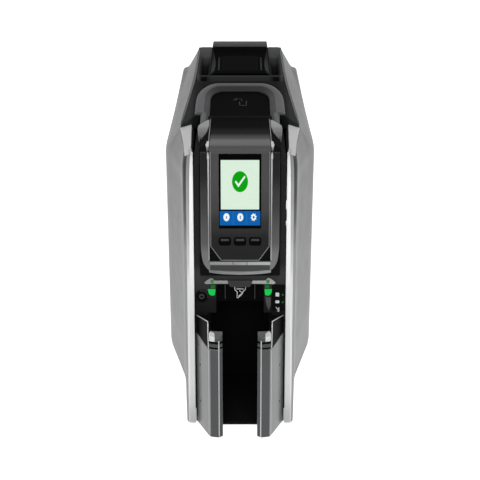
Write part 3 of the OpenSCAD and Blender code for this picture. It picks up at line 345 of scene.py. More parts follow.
def arc(cx, cy, r, start, end, steps=8, ry=None):
    turns = [math.radians(start + (end - start) * i / steps) for i in range(steps + 1)]
    return [(cx + r * math.cos(t), cy + (ry or r) * math.sin(t)) for t in turns]


def rounded(w, h, r, cx=0.0, cy=0.0):
    a, b = w / 2 - r, h / 2 - r
    return (arc(cx + a, cy + b, r, 0, 90) + arc(cx - a, cy + b, r, 90, 180)
            + arc(cx - a, cy - b, r, 180, 270) + arc(cx + a, cy - b, r, 270, 360))


def on_side(s, points):
    """A right-hand outline as it is (s = 1), or its mirror image (s = -1)."""
    return [(s * x, *rest) for x, *rest in points]


def mirrored(points):
    """A right-hand outline joined with its mirror image."""
    return points + on_side(-1, reversed(points))


def soften(obj, width, steps=3):
    soft = obj.modifiers.new("soft edges", "BEVEL")
    soft.width = width * MM
    soft.segments = steps
    soft.limit_method = "ANGLE"
    soft.angle_limit = math.radians(SOFT_ANGLE)
    soft.use_clamp_overlap = True
    soft.harden_normals = True


# looks that are no slots of the record, under the slot they belong to
SLOT_LOOKS = {
    "bright_trim": ("clear_edge", "bar_clear", "bar_foot", "sign_white", "rim_silver"),
    "handle_grey": ("panel_line", "tab_grey", "sign_grey", "cheek_grey", "facet_grey", "plate_grey"),
    "glass": ("screen_pale", "screen_green", "screen_white", "screen_blue", "screen_line"),
    "black_casing": ("brow_black", "rear_black", "lid_black", "lid_window", "lid_flank", "deck_black"),
    "gloss_black": ("waist_grey",),
    "key_black": ("key_grey",),
    "green_light": ("green_dim", "green_tint"),
    "hopper_grey": ("lip_grey", "lip_light"),
}
SLOT_FOR = {row["slot"]: row["slot"] for row in frame["record"]["materials"]}
SLOT_FOR |= {look: slot for slot, looks in SLOT_LOOKS.items() for look in looks}


def finish_piece(obj, body, stands_for=()):
    """Joins a piece to its body."""
    bpy.context.scene.collection.objects.link(obj)
    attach(obj, body)
    if stands_for:
        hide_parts(*stands_for)
    return obj


def piece(name, points, faces, body, look, stands_for=(), edge=0.0, sharp=40, looks=(), marks=None,
          thick=0.0, slot=None, steps=3):
    """A mesh piece from points in mm, with soft edges and a material.

    marks gives each face its look: 0 for `look`, 1 for the first of `looks`, and so on. slot is not used."""
    mesh = bpy.data.meshes.new(name)
    bm = bmesh.new()
    verts = [bm.verts.new([c * MM for c in p]) for p in points]
    for i, ring in enumerate(faces):
        face = bm.faces.new([verts[k] for k in ring])
        face.material_index = marks[i] if marks else 0
    bmesh.ops.remove_doubles(bm, verts=bm.verts, dist=1e-6)
    if not thick:
        bmesh.ops.recalc_face_normals(bm, faces=bm.faces)
    bm.to_mesh(mesh)
    bm.free()
    mesh.shade_smooth()
    mesh.set_sharp_from_angle(angle=math.radians(sharp))
    for one in (look, *looks):
        mesh.materials.append(MAT[one])
    obj = bpy.data.objects.new(name, mesh)
    if thick:
        shell = obj.modifiers.new("wall", "SOLIDIFY")
        shell.thickness = thick * MM
        shell.offset = -1
        shell.use_even_offset = False
    if edge:
        soften(obj, edge, steps)
    return finish_piece(obj, body, stands_for)


def prism(ring_a, ring_b):
    """Points and faces of a solid between two rings of the same count."""
    n = len(ring_a)
    faces = [list(range(n)), [n + i for i in reversed(range(n))]]
    faces += [[i, n + i, n + (i + 1) % n, (i + 1) % n] for i in range(n)]
    return list(ring_a) + list(ring_b), faces


def slab(name, outline, foot, depth0, depth1, body, look, **more):
    """An outline on the leaning face (X, up), between two depths."""
    rings = [[on_face(x, u, depth, foot) for x, u in outline] for depth in (depth0, depth1)]
    return piece(name, *prism(*rings), body, look, **more)


def upright(name, plan, z0, z1, body, look, **more):
    """A plan (X, depth) raised along the leaning face; z1 is one height or one for each point."""
    tops = z1 if isinstance(z1, list) else [z1] * len(plan)
    return piece(name, *prism([behind_face(x, d, z0) for x, d in plan],
                              [behind_face(x, d, z) for (x, d), z in zip(plan, tops)]), body, look, **more)


def raised(name, plan, z0, z1, body, look, **more):
    """A plan (X, Y) between two heights, each a number or a function of Y."""
    rings = [[(x, y, z(y) if callable(z) else z) for x, y in plan] for z in (z0, z1)]
    return piece(name, *prism(*rings), body, look, **more)


def crosswise(name, profile, x0, x1, body, look, **more):
    """A profile (Y, Z) drawn out from one X to another."""
    return piece(name, *prism([(x0, y, z) for y, z in profile], [(x1, y, z) for y, z in profile]), body,
                 look, **more)


def backward(name, outline, y0, y1, body, look, **more):
    """An outline (X, Z) drawn out from one Y to another."""
    return piece(name, *prism([(x, y0, z) for x, z in outline], [(x, y1, z) for x, z in outline]), body,
                 look, **more)


def wires(name, lines, radius, body, look):
    """Round strokes through points in mm."""
    curve = bpy.data.curves.new(name, "CURVE")
    curve.dimensions = "3D"
    curve.bevel_depth = radius * MM
    curve.bevel_resolution = 3
    curve.use_fill_caps = True
    for line in lines:
        spline = curve.splines.new("POLY")
        spline.points.add(len(line) - 1)
        for spot, p in zip(spline.points, line):
            spot.co = (*[c * MM for c in p], 1)
    curve.materials.append(MAT[look])
    return finish_piece(bpy.data.objects.new(name, curve), body)


def strokes(name, lines, depth, foot, radius, body, look):
    """Round strokes lying on the leaning face."""
    return wires(name, [[on_face(x, u, depth, foot) for x, u in line] for line in lines], radius, body, look)


def fillet_line(points, radii, bends=5, between=3):
    """A polyline in 3-D with its corners rounded, always with the same number of points."""
    pts = [Vector(p) for p in points]
    cuts = []
    for i in range(1, len(pts) - 1):
        back, on = pts[i - 1] - pts[i], pts[i + 1] - pts[i]
        r = radii[i - 1]
        a = pts[i] + back * min(r / max(back.length, 1e-6), 0.45)
        b = pts[i] + on * min(r / max(on.length, 1e-6), 0.45)
        cuts.append([a.lerp(pts[i], t / bends).lerp(pts[i].lerp(b, t / bends), t / bends)
                     for t in range(bends + 1)])
    out = [pts[0]]
    for cut in [*cuts, [pts[-1]]]:
        out += [out[-1].lerp(cut[0], k / (between + 1)) for k in range(1, between + 1)]
        out += cut
    return out


def curve_line(points, radii):
    """A flat outline with rounded corners."""
    return [(p.x, p.y) for p in fillet_line([(x, y, 0) for x, y in points], radii, 6, 2)]


def skin(rings, across, along, flip=False, between=3):
    """Points and faces of a smooth open sheet over rings of points, and its columns of faces."""
    tracks = [fillet_line(track, along, between=between) for track in zip(*rings)]
    rows = [fillet_line(section, across, between=between) for section in zip(*tracks)]
    m = len(rows[0])
    points = [tuple(p) for row in rows for p in row]
    faces = [[i * m + j, i * m + j + 1, (i + 1) * m + j + 1, (i + 1) * m + j]
             for i in range(len(rows) - 1) for j in range(m - 1)]
    if flip:
        faces = [f[::-1] for f in faces]
    return points, faces, m - 1


# ---------- CAD nodes that stay in view ----------

NODE_SLOTS = {row["node"]: row["material_slot"] for row in frame["record"]["subparts"]}
NODE_LOOKS = {"rear_panel": "rear_black", "case_screws": "screw_steel", "front_column": "column_black",
              "display_panel": "panel_black", "cover_shell": "cover_black", "release_panel": "release_black"}
USUAL_EDGE, NODE_EDGES = 0.25, {"cover_shell": 1.2, "release_panel": 0.6, "front_column": 0.8}
for name, obj in frame["nodes"].items():
    obj.data.materials.clear()
    obj.data.materials.append(MAT[NODE_LOOKS.get(name, NODE_SLOTS[name])])
    soften(obj, NODE_EDGES.get(name, USUAL_EDGE))


# ---------- silver side casings ----------

# right casing, ring by ring to the back: foot, belt, ridge, crest, inner top and inner foot
SIDE_RINGS = [
    [(SEAM, FACE_Y, BASE), (SEAM, front_y(240), 240), (SEAM, front_y(262), 262), (SEAM, front_y(277), 277),
     (SEAM, front_y(278) + 0.4, 278.4), (SEAM, front_y(268) + 6, 268)],
    [(50.9, FACE_Y, BASE), (48.9, front_y(240), 240), (48.5, front_y(262), 262), (47.6, front_y(277), 277),
     (45.1, front_y(278) + 0.4, 278.6), (45.1, front_y(268) + 6, 268)],
    [(53.7, -191, BASE), (54.8, -136, 244), (54.6, -136, 258), (53.4, -138, 270.5), (47.0, -138, 277.6),
     (45.2, -138, 264)],
    [(58.9, -110, BASE), (58.9, -108, 250), (58.6, -106, 262), (56.4, -104, 272.6), (47.9, -104, 274.8),
     (45.4, -104, 264)],
    [(70.5, -66, BASE), (70.3, -64, 243), (67.4, -62, 255), (61.6, -59.2, 270.4), (49.4, -59, 274.2),
     (46.4, -59, 266)],
    [(80.4, -29, BASE), (80.2, -29, 236), (71.2, -44, 253.5), (61.4, -58.6, 270), (60.2, -58.4, 270),
     (60.2, -58.4, 264)],
    [(79.6, 90, BASE), (74.9, 90, 243), (68.6, 90, 253.4), (51.2, 90, 276), (50.2, 90, 276),
     (50.2, 90, 266)],
    [(76, CASING_END, BASE), (71.5, CASING_END, 249), (64, CASING_END, 251), (49.7, CASING_END, 276),
     (48.7, CASING_END, 276), (48.7, CASING_END, 266)],
]
CASING_WALL = 2.4
STEP = 10                        # faces between two rings, and between two points of a ring
# painted light and shade: the strip, nose and ledge faces take lit and shaded copies of the silver paint
CASING_LOOKS = ("strip_painted_light", "nose_painted_light", "ledge_painted_light", "nose_shade", "ledge_shade")
ROW_ENDS = {"strip_painted_light": 7, "nose_painted_light": 13, "nose_shade": 22}      # rows counted from the front
LEDGE_END = 3 * STEP + 8         # the row where the ledge beside the display ends
LEDGE_COLUMNS = range(3 * STEP - 2, 4 * STEP)       # across the ledge's top; its inner wall follows


def casing_mark(row, column):
    """The mark of one face: 0 for the paint, or the number of one of CASING_LOOKS."""
    look = next((name for name, end in ROW_ENDS.items() if row < end), None)
    if ROW_ENDS["strip_painted_light"] <= row < LEDGE_END and column >= LEDGE_COLUMNS.start:
        look = "ledge_painted_light" if column in LEDGE_COLUMNS else "ledge_shade"
    return CASING_LOOKS.index(look) + 1 if look else 0


for side, s in SIDES:
    pts, quads, columns = skin([on_side(s, ring) for ring in SIDE_RINGS], [6, 3, 1.6, 0.8],
                               [0.8, 2.2, 10, 1.2, 22, 40], flip=s > 0, between=4)
    piece(f"{side}_side_casing", pts, quads, "chassis", "silver_paint", stands_for=[f"{side}_side_panel"],
          looks=CASING_LOOKS, marks=[casing_mark(*divmod(i, columns)) for i in range(len(quads))],
          thick=CASING_WALL, sharp=60)


# ---------- display ----------

PANEL_FOOT, SURROUND_FOOT, FACE_TOP = 172.7, 159.3, 279.5
WINDOW_X = 29.4                  # half width of the opening in the surround

top_up = up(SURROUND_FOOT, FACE_TOP)
window_up = up(SURROUND_FOOT, PANEL_FOOT) - 0.2
half = curve_line([(38, top_up), (38, 26), (36.2, 12), (30, 3.4), (20, 0.8), (0, 0)], [6, 6, 5, 6])
window = [(-WINDOW_X, half[0][1]), (-WINDOW_X, window_up), (WINDOW_X, window_up), (WINDOW_X, half[0][1])]
slab("display_frame", mirrored(half) + window, SURROUND_FOOT, -4.0, -0.2, "cover", "smoked",
     stands_for=["display_surround"], edge=1.1, steps=4, sharp=30)

# clear edge down both sides of the panel, its brightness along the height painted highlight, with a painted
# highlight where it meets the brow
strokes("clear_edges", [[(s * 30.1, u) for u in (15.5, 40, 70, 100, top_up - 3.2)] for _, s in SIDES], -4.2,
        SURROUND_FOOT, 0.75, "cover", "clear_edge")
EDGE_GLINT = [(29, top_up - 6), (31.4, top_up - 6), (31.1, top_up - 1.5), (30.3, top_up + 0.2),
        (29.5, top_up - 1.5)]
for side, s in SIDES:
    slab(f"{side}_edge_glint", on_side(s, EDGE_GLINT), SURROUND_FOOT, -4.9, -3.6, "cover", "clear_edge", edge=0.35)

# clear bar under the panel: an upper lip in three parts, a dark waist and a bowed lower lip
for k, (x0, x1) in enumerate(((-29.6, -7), (-6.4, 6.4), (7, 29.6))):
    slab(f"bar_lip_{k + 1}", [(x0, 10.2), (x1, 10.2), (x1, 13.3), (x0, 13.3)], SURROUND_FOOT, -5.0, -3.4,
         "cover", "bar_clear", edge=0.8)
slab("bar_waist", mirrored([(29, 9.8), (29, 5.2), (14, 4.3), (0.01, 4.0)]), SURROUND_FOOT, -4.5, -3.4,
     "cover", "waist_grey", edge=0.4)
lower = curve_line([(29.8, 5.4), (30.4, 2.6), (20, 1.0), (0.01, 0.2)], [2, 6])
slab("bar_foot", mirrored(lower) + [(-28.2, 5.2), (-14, 3.7), (0, 3.4), (14, 3.7), (28.2, 5.2)],
     SURROUND_FOOT, -4.8, -3.4, "cover", "bar_foot", edge=0.5)

# thin line round the panel
strokes("panel_edge_line", [mirrored([(28.2, up(PANEL_FOOT, FACE_TOP)), (28.2, 15), (18.2, 1.0)])], -2.45,
        PANEL_FOOT, 0.35, "cover", "panel_line")

# picture on the screen: pale ground, round mark with a tick, and a bar with three signs
SCREEN, SCREEN_FOOT = -2.62, 200.0
BAR_Z, SIGN_Z = 215.5, 216.5
GEAR_X, GEAR_POINTS = 13.1, 32


def on_screen(name, outline, look, layer=1):
    """A thin figure lying on the glass; outline in X and height."""
    return slab(name, [(x, up(SCREEN_FOOT, z)) for x, z in outline], SCREEN_FOOT, SCREEN - 0.05 * layer,
                SCREEN, "cover", look)


on_screen("screen_ground", rounded(36.6, 47.6, 0.3, 0, 247.9), "screen_pale")
on_screen("screen_bar", rounded(38.8, 14.2, 0.3, 0, BAR_Z), "screen_blue")
on_screen("screen_disc", arc(0, 251, 7.6, 0, 355, 71, ry=10.1), "screen_green", 2)
on_screen("screen_tick", [(-4.9, 250.8), (-3.9, 252.2), (-1.5, 248.8), (4.3, 256.8), (5.2, 255.4),
                          (-1.5, 245.6)], "screen_white", 3)
for k, x in enumerate((-6.5, 6.5)):
    on_screen(f"screen_divider_{k + 1}", rounded(0.4, 12.8, 0.1, x, BAR_Z), "screen_line", 2)
for k, (x, tall) in enumerate(((-13.0, 2.4), (0.3, 3.6))):
    on_screen(f"screen_sign_{k + 1}", arc(x, SIGN_Z, 2.9, 0, 350, 35, ry=3.9), "screen_white", 2)
    on_screen(f"screen_sign_{k + 1}_mark", rounded(0.9, tall, 0.4, x, SIGN_Z - 0.2), "screen_blue", 3)
gear = []
for i in range(GEAR_POINTS):
    across, high = (2.9, 3.9) if i % 4 < 2 else (2.1, 2.9)
    turn = math.tau * (i + 0.5) / GEAR_POINTS
    gear.append((GEAR_X + across * math.cos(turn), SIGN_Z + high * math.sin(turn)))
on_screen("screen_sign_3", gear, "screen_white", 2)
on_screen("screen_sign_3_mark", arc(GEAR_X, SIGN_Z, 0.95, 0, 340, 17, ry=1.3), "screen_blue", 3)

# ---------- keys ----------

KEY_Z, PITCH = 192.5, 14.6
for side, x in (("left", -PITCH), ("middle", 0), ("right", PITCH)):
    slab(f"key_cap_{side}", rounded(12.0, 8.6, 2.4, x, 0), KEY_Z, -2.9, -1.0, f"key_{side}", "key_black",
         stands_for=[f"menu_key_{side}"], edge=0.7)
    # painted highlight: the lighter upper half of each key
    slab(f"key_glint_{side}", rounded(8.2, 2.2, 0.9, x, 1.6), KEY_Z, -3.15, -2.8, f"key_{side}", "key_grey",
         edge=0.15)

# ---------- slot, lamps and signs under the display ----------

SLOT_Z, LAMP_Z, FEED_Z = 149.4, 139.4, 139.6
TRIM = [(35.4, 0.2), (33.6, 2.2), (29.4, 5.2), (27, 5.2), (24.4, 2.9), (12.4, 2.9), (10.8, 0.6), (7, -0.4),
        (33, -1.0)]
for side, s in SIDES:
    slab(f"{side}_slot_trim", on_side(s, TRIM), SLOT_Z, 0.2, 2.9, "chassis", "bright_trim",
         stands_for=["slot_trim"] if s < 0 else (), edge=0.5)
slab("slot_tab", [(-11.6, 3.0), (11.6, 3.0), (12.2, 0.6), (9.6, -4.0), (-9.6, -4.0), (-12.2, 0.6)], SLOT_Z,
     0.0, 2.9, "chassis", "tab_grey", edge=0.8)

# by each lamp: a painted reflection of it just above, and painted lamp light spilled on the trim over that
GUIDE = [(31.6, 2.9), (30.6, -1.8), (28.4, -3.4), (24.8, -3.0), (24.2, 1.2), (25.6, 3.0), (28, 1.9)]
LAMP_REFLECTION = [(24.6, 7.6), (28.4, 7.6), (28.8, 4.2), (25, 4.0)]
LAMP_SPILL = [(25.4, 13.8), (29.2, 14.2), (28.6, 10.2), (26.2, 9.8)]
for side, s in SIDES:
    slab(f"{side}_light_guide", on_side(s, GUIDE), LAMP_Z, 2.2, 8.0, "chassis", "green_light",
         stands_for=["slot_light_guides"] if s < 0 else (), edge=0.5)
    slab(f"{side}_lamp_reflection", on_side(s, LAMP_REFLECTION), LAMP_Z, 2.4, 6.0, "chassis", "green_dim", edge=0.4)
    slab(f"{side}_lamp_spill", on_side(s, LAMP_SPILL), LAMP_Z, -0.1, 2.2, "chassis", "green_tint", edge=0.4)

# card-feed sign: a card going down a funnel
FUNNEL = [(-5.4, 5.6), (5.6, 5.6), (5.2, 2.6), (3.0, 0.8), (2.0, -2.0), (-2.2, -6.0), (-3.0, -5.4),
          (-2.6, 0.2), (-5.0, 2.4), (-5.4, 5.6)]
strokes("feed_sign", [FUNNEL, [(-3.4, 3.4), (3.6, 3.4)], [(-0.6, 1.6), (2.4, -0.8), (-1.4, -4.2)]], 2.6,
        FEED_Z, 0.42, "chassis", "sign_white")
slab("feed_sign_plate", rounded(26, 15, 1.5, 0, 0), FEED_Z, 2.8, 5.0, "chassis", "key_black", edge=0.4)
for side, s in SIDES:
    slab(f"{side}_mouth_rib", on_side(s, [(14.2, 9), (15.0, 9), (15.0, -7), (14.2, -7)]), FEED_Z, 2.5, 7.0,
         "chassis", "tab_grey", edge=0.2)

# power button: a painted highlight, a crescent on its ring, and the sign on its cap
POWER_X, POWER_Z = -37.6, 135.4
strokes("power_ring_glint", [arc(POWER_X, 0, 6.0, -10, 105, 12)], 1.5, POWER_Z, 0.42, "chassis", "tab_grey")
strokes("power_sign", [arc(POWER_X, 0, 2.1, 120, 420, 16), [(POWER_X, 0.8), (POWER_X, 2.9)]], 1.85, POWER_Z,
        0.28, "power_key", "sign_grey")
# right cheek of the card mouth, with a painted highlight band
slab("right_mouth_cheek", [(24.6, -4.5), (30.6, -5.5), (30.4, -14), (28.6, -20), (26.4, -15)], LAMP_Z, 2.75,
     4.5, "chassis", "cheek_grey", edge=0.4)

# status signs and lamps
STATUS_X, STATUS_Z, LAMP_X = 37.8, 134.0, 42.1
slab("status_plate", rounded(13.0, 27, 1.5, STATUS_X, 0), STATUS_Z, 2.0, 3.2, "chassis", "black_casing",
     stands_for=["status_panel"], edge=0.5)
for name, x, u, w, h in (("cards", 36.8, 3.4, 3.6, 4.0), ("cleaner", 36.8, -4.2, 4.0, 2.8)):
    slab(f"status_{name}_sign", rounded(w, h, 0.8, x, u), STATUS_Z, 1.85, 2.1, "chassis", "sign_white",
         edge=0.1)
strokes("status_link_sign", [[(35.6, -9.6), (36.9, -11.8), (38.6, -11.8)], [(38.4, -9.8), (38.4, -14.2)],
                             [(36.8, -13.2), (38.4, -14.6)]], 1.9, STATUS_Z, 0.4, "chassis", "sign_white")
for k, u in enumerate((3.2, -4.6)):
    slab(f"status_lamp_{k + 1}", arc(LAMP_X, u, 0.9, 0, 330, 11), STATUS_Z, 1.7, 2.1, "chassis", "green_dim")


# ---------- output hopper ----------

LIP_Y = -26 * COS                # the lips reach this far out of the face
BAY_TOP = 117.5
EAR = [(43.6, 2.7), (31.2, LIP_Y + 4), (30.4, LIP_Y + 3.2), (28.5, LIP_Y + 6), (28.5, 2.7)]
HEAD = [(43.2, 2.7), (31.2, LIP_Y + 4.5), (30.4, LIP_Y + 4.2), (28.6, LIP_Y + 6), (28.6, 2.7)]
LINER = [(-193, BASE), (front_y(117.9) + 1, BAY_TOP), (-108, BAY_TOP), (-108, BASE)]
LIP = [(30.6, LIP_Y + 3.1), (29.2, LIP_Y + 1.5), (21, LIP_Y), (17, LIP_Y + 2.6), (17, LIP_Y + 4.4),
       (27.5, LIP_Y + 5), (28.6, LIP_Y + 6)]
LIP_FACET = [(30.4, LIP_Y + 2.9), (29, LIP_Y + 1.3), (24.6, LIP_Y + 0.6), (24.8, LIP_Y + 4.5),
             (28.0, LIP_Y + 5.2)]
# bands over each lip: foot, top, look and how far they stand back
LIP_BANDS = [(94.5, 96.6, "gloss_black", 0.7), (96.6, 100.0, "lip_light", 0.1),
             (100.0, 102.4, "gloss_black", 0.7),
             (102.4, [109.5, 106.5, 106.0, 108.0, 111.6, 111.6, 111.6], "lip_light", 0.15)]
# fine lines: their points (X, depth, height), radius and look
HOPPER_LINES = {
    # painted highlight along the edge of the lip
    "lip_edge_glint": ([(20.6, LIP_Y + 0.1, z) for z in (2.8, 30, 60, 100, 104)], 0.62, "clear_edge"),
    "ear_edge": ([(42.8, 2.2, 115.6), (37.0, -9.6, 118.8), (31.2, LIP_Y + 4.6, 121.4),
                  (31.2, LIP_Y + 4.3, 113), (31.0, LIP_Y + 4.2, 104), (30.8, LIP_Y + 4.0, 94)], 0.55,
                 "rim_silver"),
    "ear_seam": ([(30.7, LIP_Y + 3.2, z) for z in (3, 40, 93)], 0.3, "rim_silver"),
}


def ear_mark(name, s, z):
    """A small round sink mark on the outer face of an ear, at a height."""
    (root_x, root_d), (nose_x, nose_d) = EAR[:2]
    length = math.hypot(root_x - nose_x, root_d - nose_d)
    along_x, along_d = (root_x - nose_x) / length, (root_d - nose_d) / length    # towards the column
    out_x, out_d = along_d, -along_x                                             # out of the face
    x = 39.6
    depth = nose_d + (x - nose_x) / along_x * along_d
    rings = [[on_face(s * (x + a * along_x + h * out_x), (z + b) / COS, depth + a * along_d + h * out_d, 0)
              for a, b in arc(0, 0, 1.3, 0, 330, 11)] for h in (-0.4, 0.12)]
    piece(name, *prism(*rings), "chassis", "lip_grey")


for side, s in SIDES:
    upright(f"{side}_hopper_ear", on_side(s, EAR), BASE, [97.5, 93.5, 93.5, 93.5, 97.5], "chassis",
            "hopper_grey", stands_for=[f"hopper_{side}_wall"], edge=0.5)
    # glossy head of the ear, between the slanted top of the grey face and the bright rim
    upright(f"{side}_ear_head", on_side(s, HEAD), 93.6, [115.5, 121.4, 121.4, 121.4, 115.5], "chassis",
            "gloss_black", edge=0.5)
    # liner behind the ear, along the inside of the bay
    crosswise(f"{side}_hopper_liner", LINER, s * 28.7, s * 31, "chassis", "gloss_black", edge=0.3)
    # foot, top, then the sides in the order of the plan: lip face dark, inner chamfer lighter, painted shade
    # and light on the one grey moulding
    upright(f"{side}_hopper_lip", on_side(s, LIP), BASE, 94.5, "chassis", "lip_grey",
            looks=("hopper_grey", "lip_light"), marks=[1, 1, 1, 0, 2, 1, 1, 1, 1], edge=0.45)
    for k, (z0, top, look, inset) in enumerate(LIP_BANDS):
        band = [(x - (inset if x > 20 else -inset), d + inset) for x, d in LIP[:4]] + LIP[4:]
        upright(f"{side}_lip_band_{k + 1}", on_side(s, band), z0, top, "chassis", look, slot="hopper_grey",
                edge=0.4)
    upright(f"{side}_lip_facet", on_side(s, LIP_FACET), 102.8, [110.6, 107.4, 107.0, 110.8, 111.9],
            "chassis", "rim_silver", edge=0.3)
    for part, (line, radius, look) in HOPPER_LINES.items():
        wires(f"{side}_{part}", [[behind_face(*p) for p in on_side(s, line)]], radius, "chassis", look)
    for k, z in enumerate((67, 28)):
        ear_mark(f"{side}_ear_mark_{k + 1}", s, z)


# ---------- brow and arch ----------

def tube(name, rings, across, along, body, look, dark=(), **more):
    """A closed solid lofted over rings of points; its columns of faces in `dark` have the second look."""
    pts, faces, columns = skin([ring + [ring[0]] for ring in rings], across, along)
    marks = [int(i % columns in dark) for i in range(len(faces))] + [0, 0]
    last = len(pts) - columns - 1
    faces += [list(range(columns))[::-1], [last + j for j in range(columns)]]
    return piece(name, pts, faces, body, look, marks=marks, **more)


BROW = [(front_y(279.9) - 2.7, 279.9), (-149.6, 283.2), (-142, 284.3), (-112, 283.6), (-80, 281.8),
        (-52, 279.9), (-49.4, 279.0)]
BROW_UNDER = [*BROW[:-1], (BROW[-1][0] + 2.0, BROW[-1][1])]
BROW_DEEP = 2.2
# X of each ring, and how far its top drops at the ends
brow_rings = [[(x, y, z - drop) for y, z in BROW]
              + [(x, y, z - BROW_DEEP - drop) for y, z in reversed(BROW_UNDER)]
              for x, drop in ((-29.2, 0.8), (-28.4, 0.0), (28.4, 0.0), (29.2, 0.8))]
tube("brow_cap", brow_rings, [2.5, 3.5, 12, 12, 8, 1.5, 0.3] + [0.3] * 6, [0.6, 0.6], "cover", "brow_black",
     sharp=50)

OUTER_BEND = (22.9, 2.0, 24.0, 60.0)      # centre X, centre Y, radius across, radius along
INNER_BEND = (19.2, 10.0, 12.0, 30.0)
ARCH_FOOT, ARCH_SHADED = 275.6, range(33, 50)      # the columns in painted shade are the inner slope and wall


def arch_ring(outer, inner, top, low=ARCH_FOOT):
    """One cross-section of the handle, from its outer foot over the crest to its inner foot."""
    (xo, yo), (xi, yi) = outer, inner
    over = [(xo + (xi - xo) * t, yo + (yi - yo) * t, top - drop)
            for t, drop in ((0.16, 0.6), (0.42, 0), (0.62, 0.9), (0.97, 4.2))]
    return [(*outer, low), (*outer, top - 2.6), *over, (*inner, low)]


arch = [arch_ring((40.0, -86), (31.6, -70), 283.0, 278), arch_ring((40.4, -60), (31.2, -58), 282.8, 277),
        arch_ring((40.8, -45.4), (31.0, -45.4), 282.4, 272),
        arch_ring((46.6, -44.4), (31.0, -44.4), 282.3, 270), arch_ring((46.9, -36), (31.0, -36), 282.2)]
for turn in range(0, 91, 15):
    c, sn = math.cos(math.radians(turn)), math.sin(math.radians(turn))
    outer, inner = [(cx + rx * c, cy + ry * sn) for cx, cy, rx, ry in (OUTER_BEND, INNER_BEND)]
    arch.append(arch_ring(outer, inner, 282.0 - 0.2 * turn / 15))
arch += [on_side(-1, ring) for ring in reversed(arch)]
tube("arch_handle", arch, [1, 2.4, 2, 2, 1.2, 1.0, 0.3], [0.6] * 3 + [3] * (len(arch) - 8) + [0.6] * 3,
     "cover", "handle_grey", dark=ARCH_SHADED, stands_for=["cover_handle"], sharp=45, looks=("arch_inner_shade",))

# facets between the arch and the brow, grey in painted light and brighter towards the rear, painted
# highlights at the corners of the brow, and its fine edge lines
FACET = [(41.8, -95), (41.2, -86), (33.4, -72), (30.8, -70), (30.6, -86), (32.6, -106), (36.6, -122),
         (40.4, -116)]
BROW_GLINT = [(29.4, -131), (31.8, -133), (32.8, -143), (31.4, -147.5), (29.4, -146)]
BROW_LINE = [(-134, 284.0), (-112, 283.5), (-80, 281.7), (-62, 280.5)]
for side, s in SIDES:
    raised(f"{side}_arch_facet", on_side(s, FACET), 276.5, 283.4, "cover", "facet_grey",
           edge=0.5)
    raised(f"{side}_brow_glint", on_side(s, BROW_GLINT), 279, 284.2, "cover", "rim_silver",
           edge=0.6)
    wires(f"{side}_brow_edge_line", [[(s * 29.9, y, z) for y, z in BROW_LINE]], 0.35, "cover", "panel_line")

# cover-open sign on the release panel: a lifted flap over an open box
FLAP = [[(-7.0, 21.0), (-3.6, 25.6), (1.0, 24.2), (2.6, 18.6)], [(-3.6, 25.6), (-4.4, 21.6), (-7.0, 21.0)],
        [(-0.4, 15.0), (-0.4, 3.4), (6.8, 3.4), (6.8, 17.2)]]
wires("open_sign", [[(x, y - 6, 275.05) for x, y in part] for part in FLAP], 0.4, "release", "tab_grey")


# ---------- back ----------

def back_frame(name, x, z, w, h, rim):
    """A raised rim round an opening in the rear panel."""
    outer, inner = rounded(w + 2 * rim, h + 2 * rim, 1.4, x, z), rounded(w, h, 0.6, x, z)
    n = len(outer)
    points = [(a, y, b) for y in (219.7, 220.8) for ring in (outer, inner) for a, b in ring]
    faces = []
    for i in range(n):
        j = (i + 1) % n
        faces += [[2 * n + i, 2 * n + j, 3 * n + j, 3 * n + i], [i, n + i, n + j, j],
                  [i, j, 2 * n + j, 2 * n + i], [n + i, 3 * n + i, 3 * n + j, n + j]]
    return piece(name, points, faces, "chassis", "rear_black", edge=0.25, steps=2)


BLANK_X, BLANK_Z = -10, 140
for k, z in enumerate((30.0, 60.0, 89.9)):
    back_frame(f"socket_rim_{k + 1}", 54.6, z, 17.4, 14.8, 1.6)
back_frame("fan_grille_rim", 0, 56.95, 48, 39, 2.2)
back_frame("blank_plate_rim", BLANK_X, BLANK_Z, 74, 42, 1.4)
backward("blank_plate", rounded(73, 41, 1, BLANK_X, BLANK_Z), 219.9, 220.25, "chassis", "plate_grey",
         edge=0.1)
for k, z in enumerate((200, 208, 216)):
    backward(f"back_rib_{k + 1}", rounded(104, 2.4, 1.1, 0, z), 219.8, 220.9, "chassis", "rear_black",
             edge=0.4)

# ---------- input hopper lid ----------

LID_FOOT = 276.6
LID_FRONT, LID_LOW = 103.4, 277.8         # where the slope starts, and how high
LID_RISE, LID_RUN = 7.2, 82.6
LID_BACK = 187                            # where the slope gives way to the flat top
HINGE_Y, HINGE_Z, KNUCKLE_R = 211, 271, 4


def lid_height(y):
    """Height of the lid's slope."""
    return LID_LOW + (y - LID_FRONT) * LID_RISE / LID_RUN


# each row of the lid: Y, top height, half width on top, whether it is hollow beneath
LID_ROWS = [(LID_FRONT, 277.2, 33.0, False)]
LID_ROWS += [(y, lid_height(y), half, y >= 125)
             for y, half in ((104.2, 31.6), (112, 29.4), (125, 28.6), (140, 28.8), (155, 30.2), (170, 32.0),
                             (184, 33.3))]
LID_ROWS += [(LID_BACK, 285.0, 33.4, True), (205, 285.0, 33.0, True), (211, 284.9, 32.8, True),
             (213.5, 284.2, 32.7, True), (213.6, 284.15, 32.7, False), (215.3, 282.4, 32.6, False),
             (216.0, 280.0, 32.8, False)]
COUNT = 8                                 # points in a row
points, faces, marks = [], [], []
for y, z, half, hollow in LID_ROWS:
    roof = max(z - 2.2, LID_FOOT + 0.1) if hollow else LID_FOOT + 0.1
    across = [(33.5, LID_FOOT), (half, z), (-half, z), (-33.5, LID_FOOT), (-31.4, LID_FOOT),
              (-half + 2.4, roof), (half - 2.4, roof), (31.4, LID_FOOT)]
    points += [(x, y, h) for x, h in across]
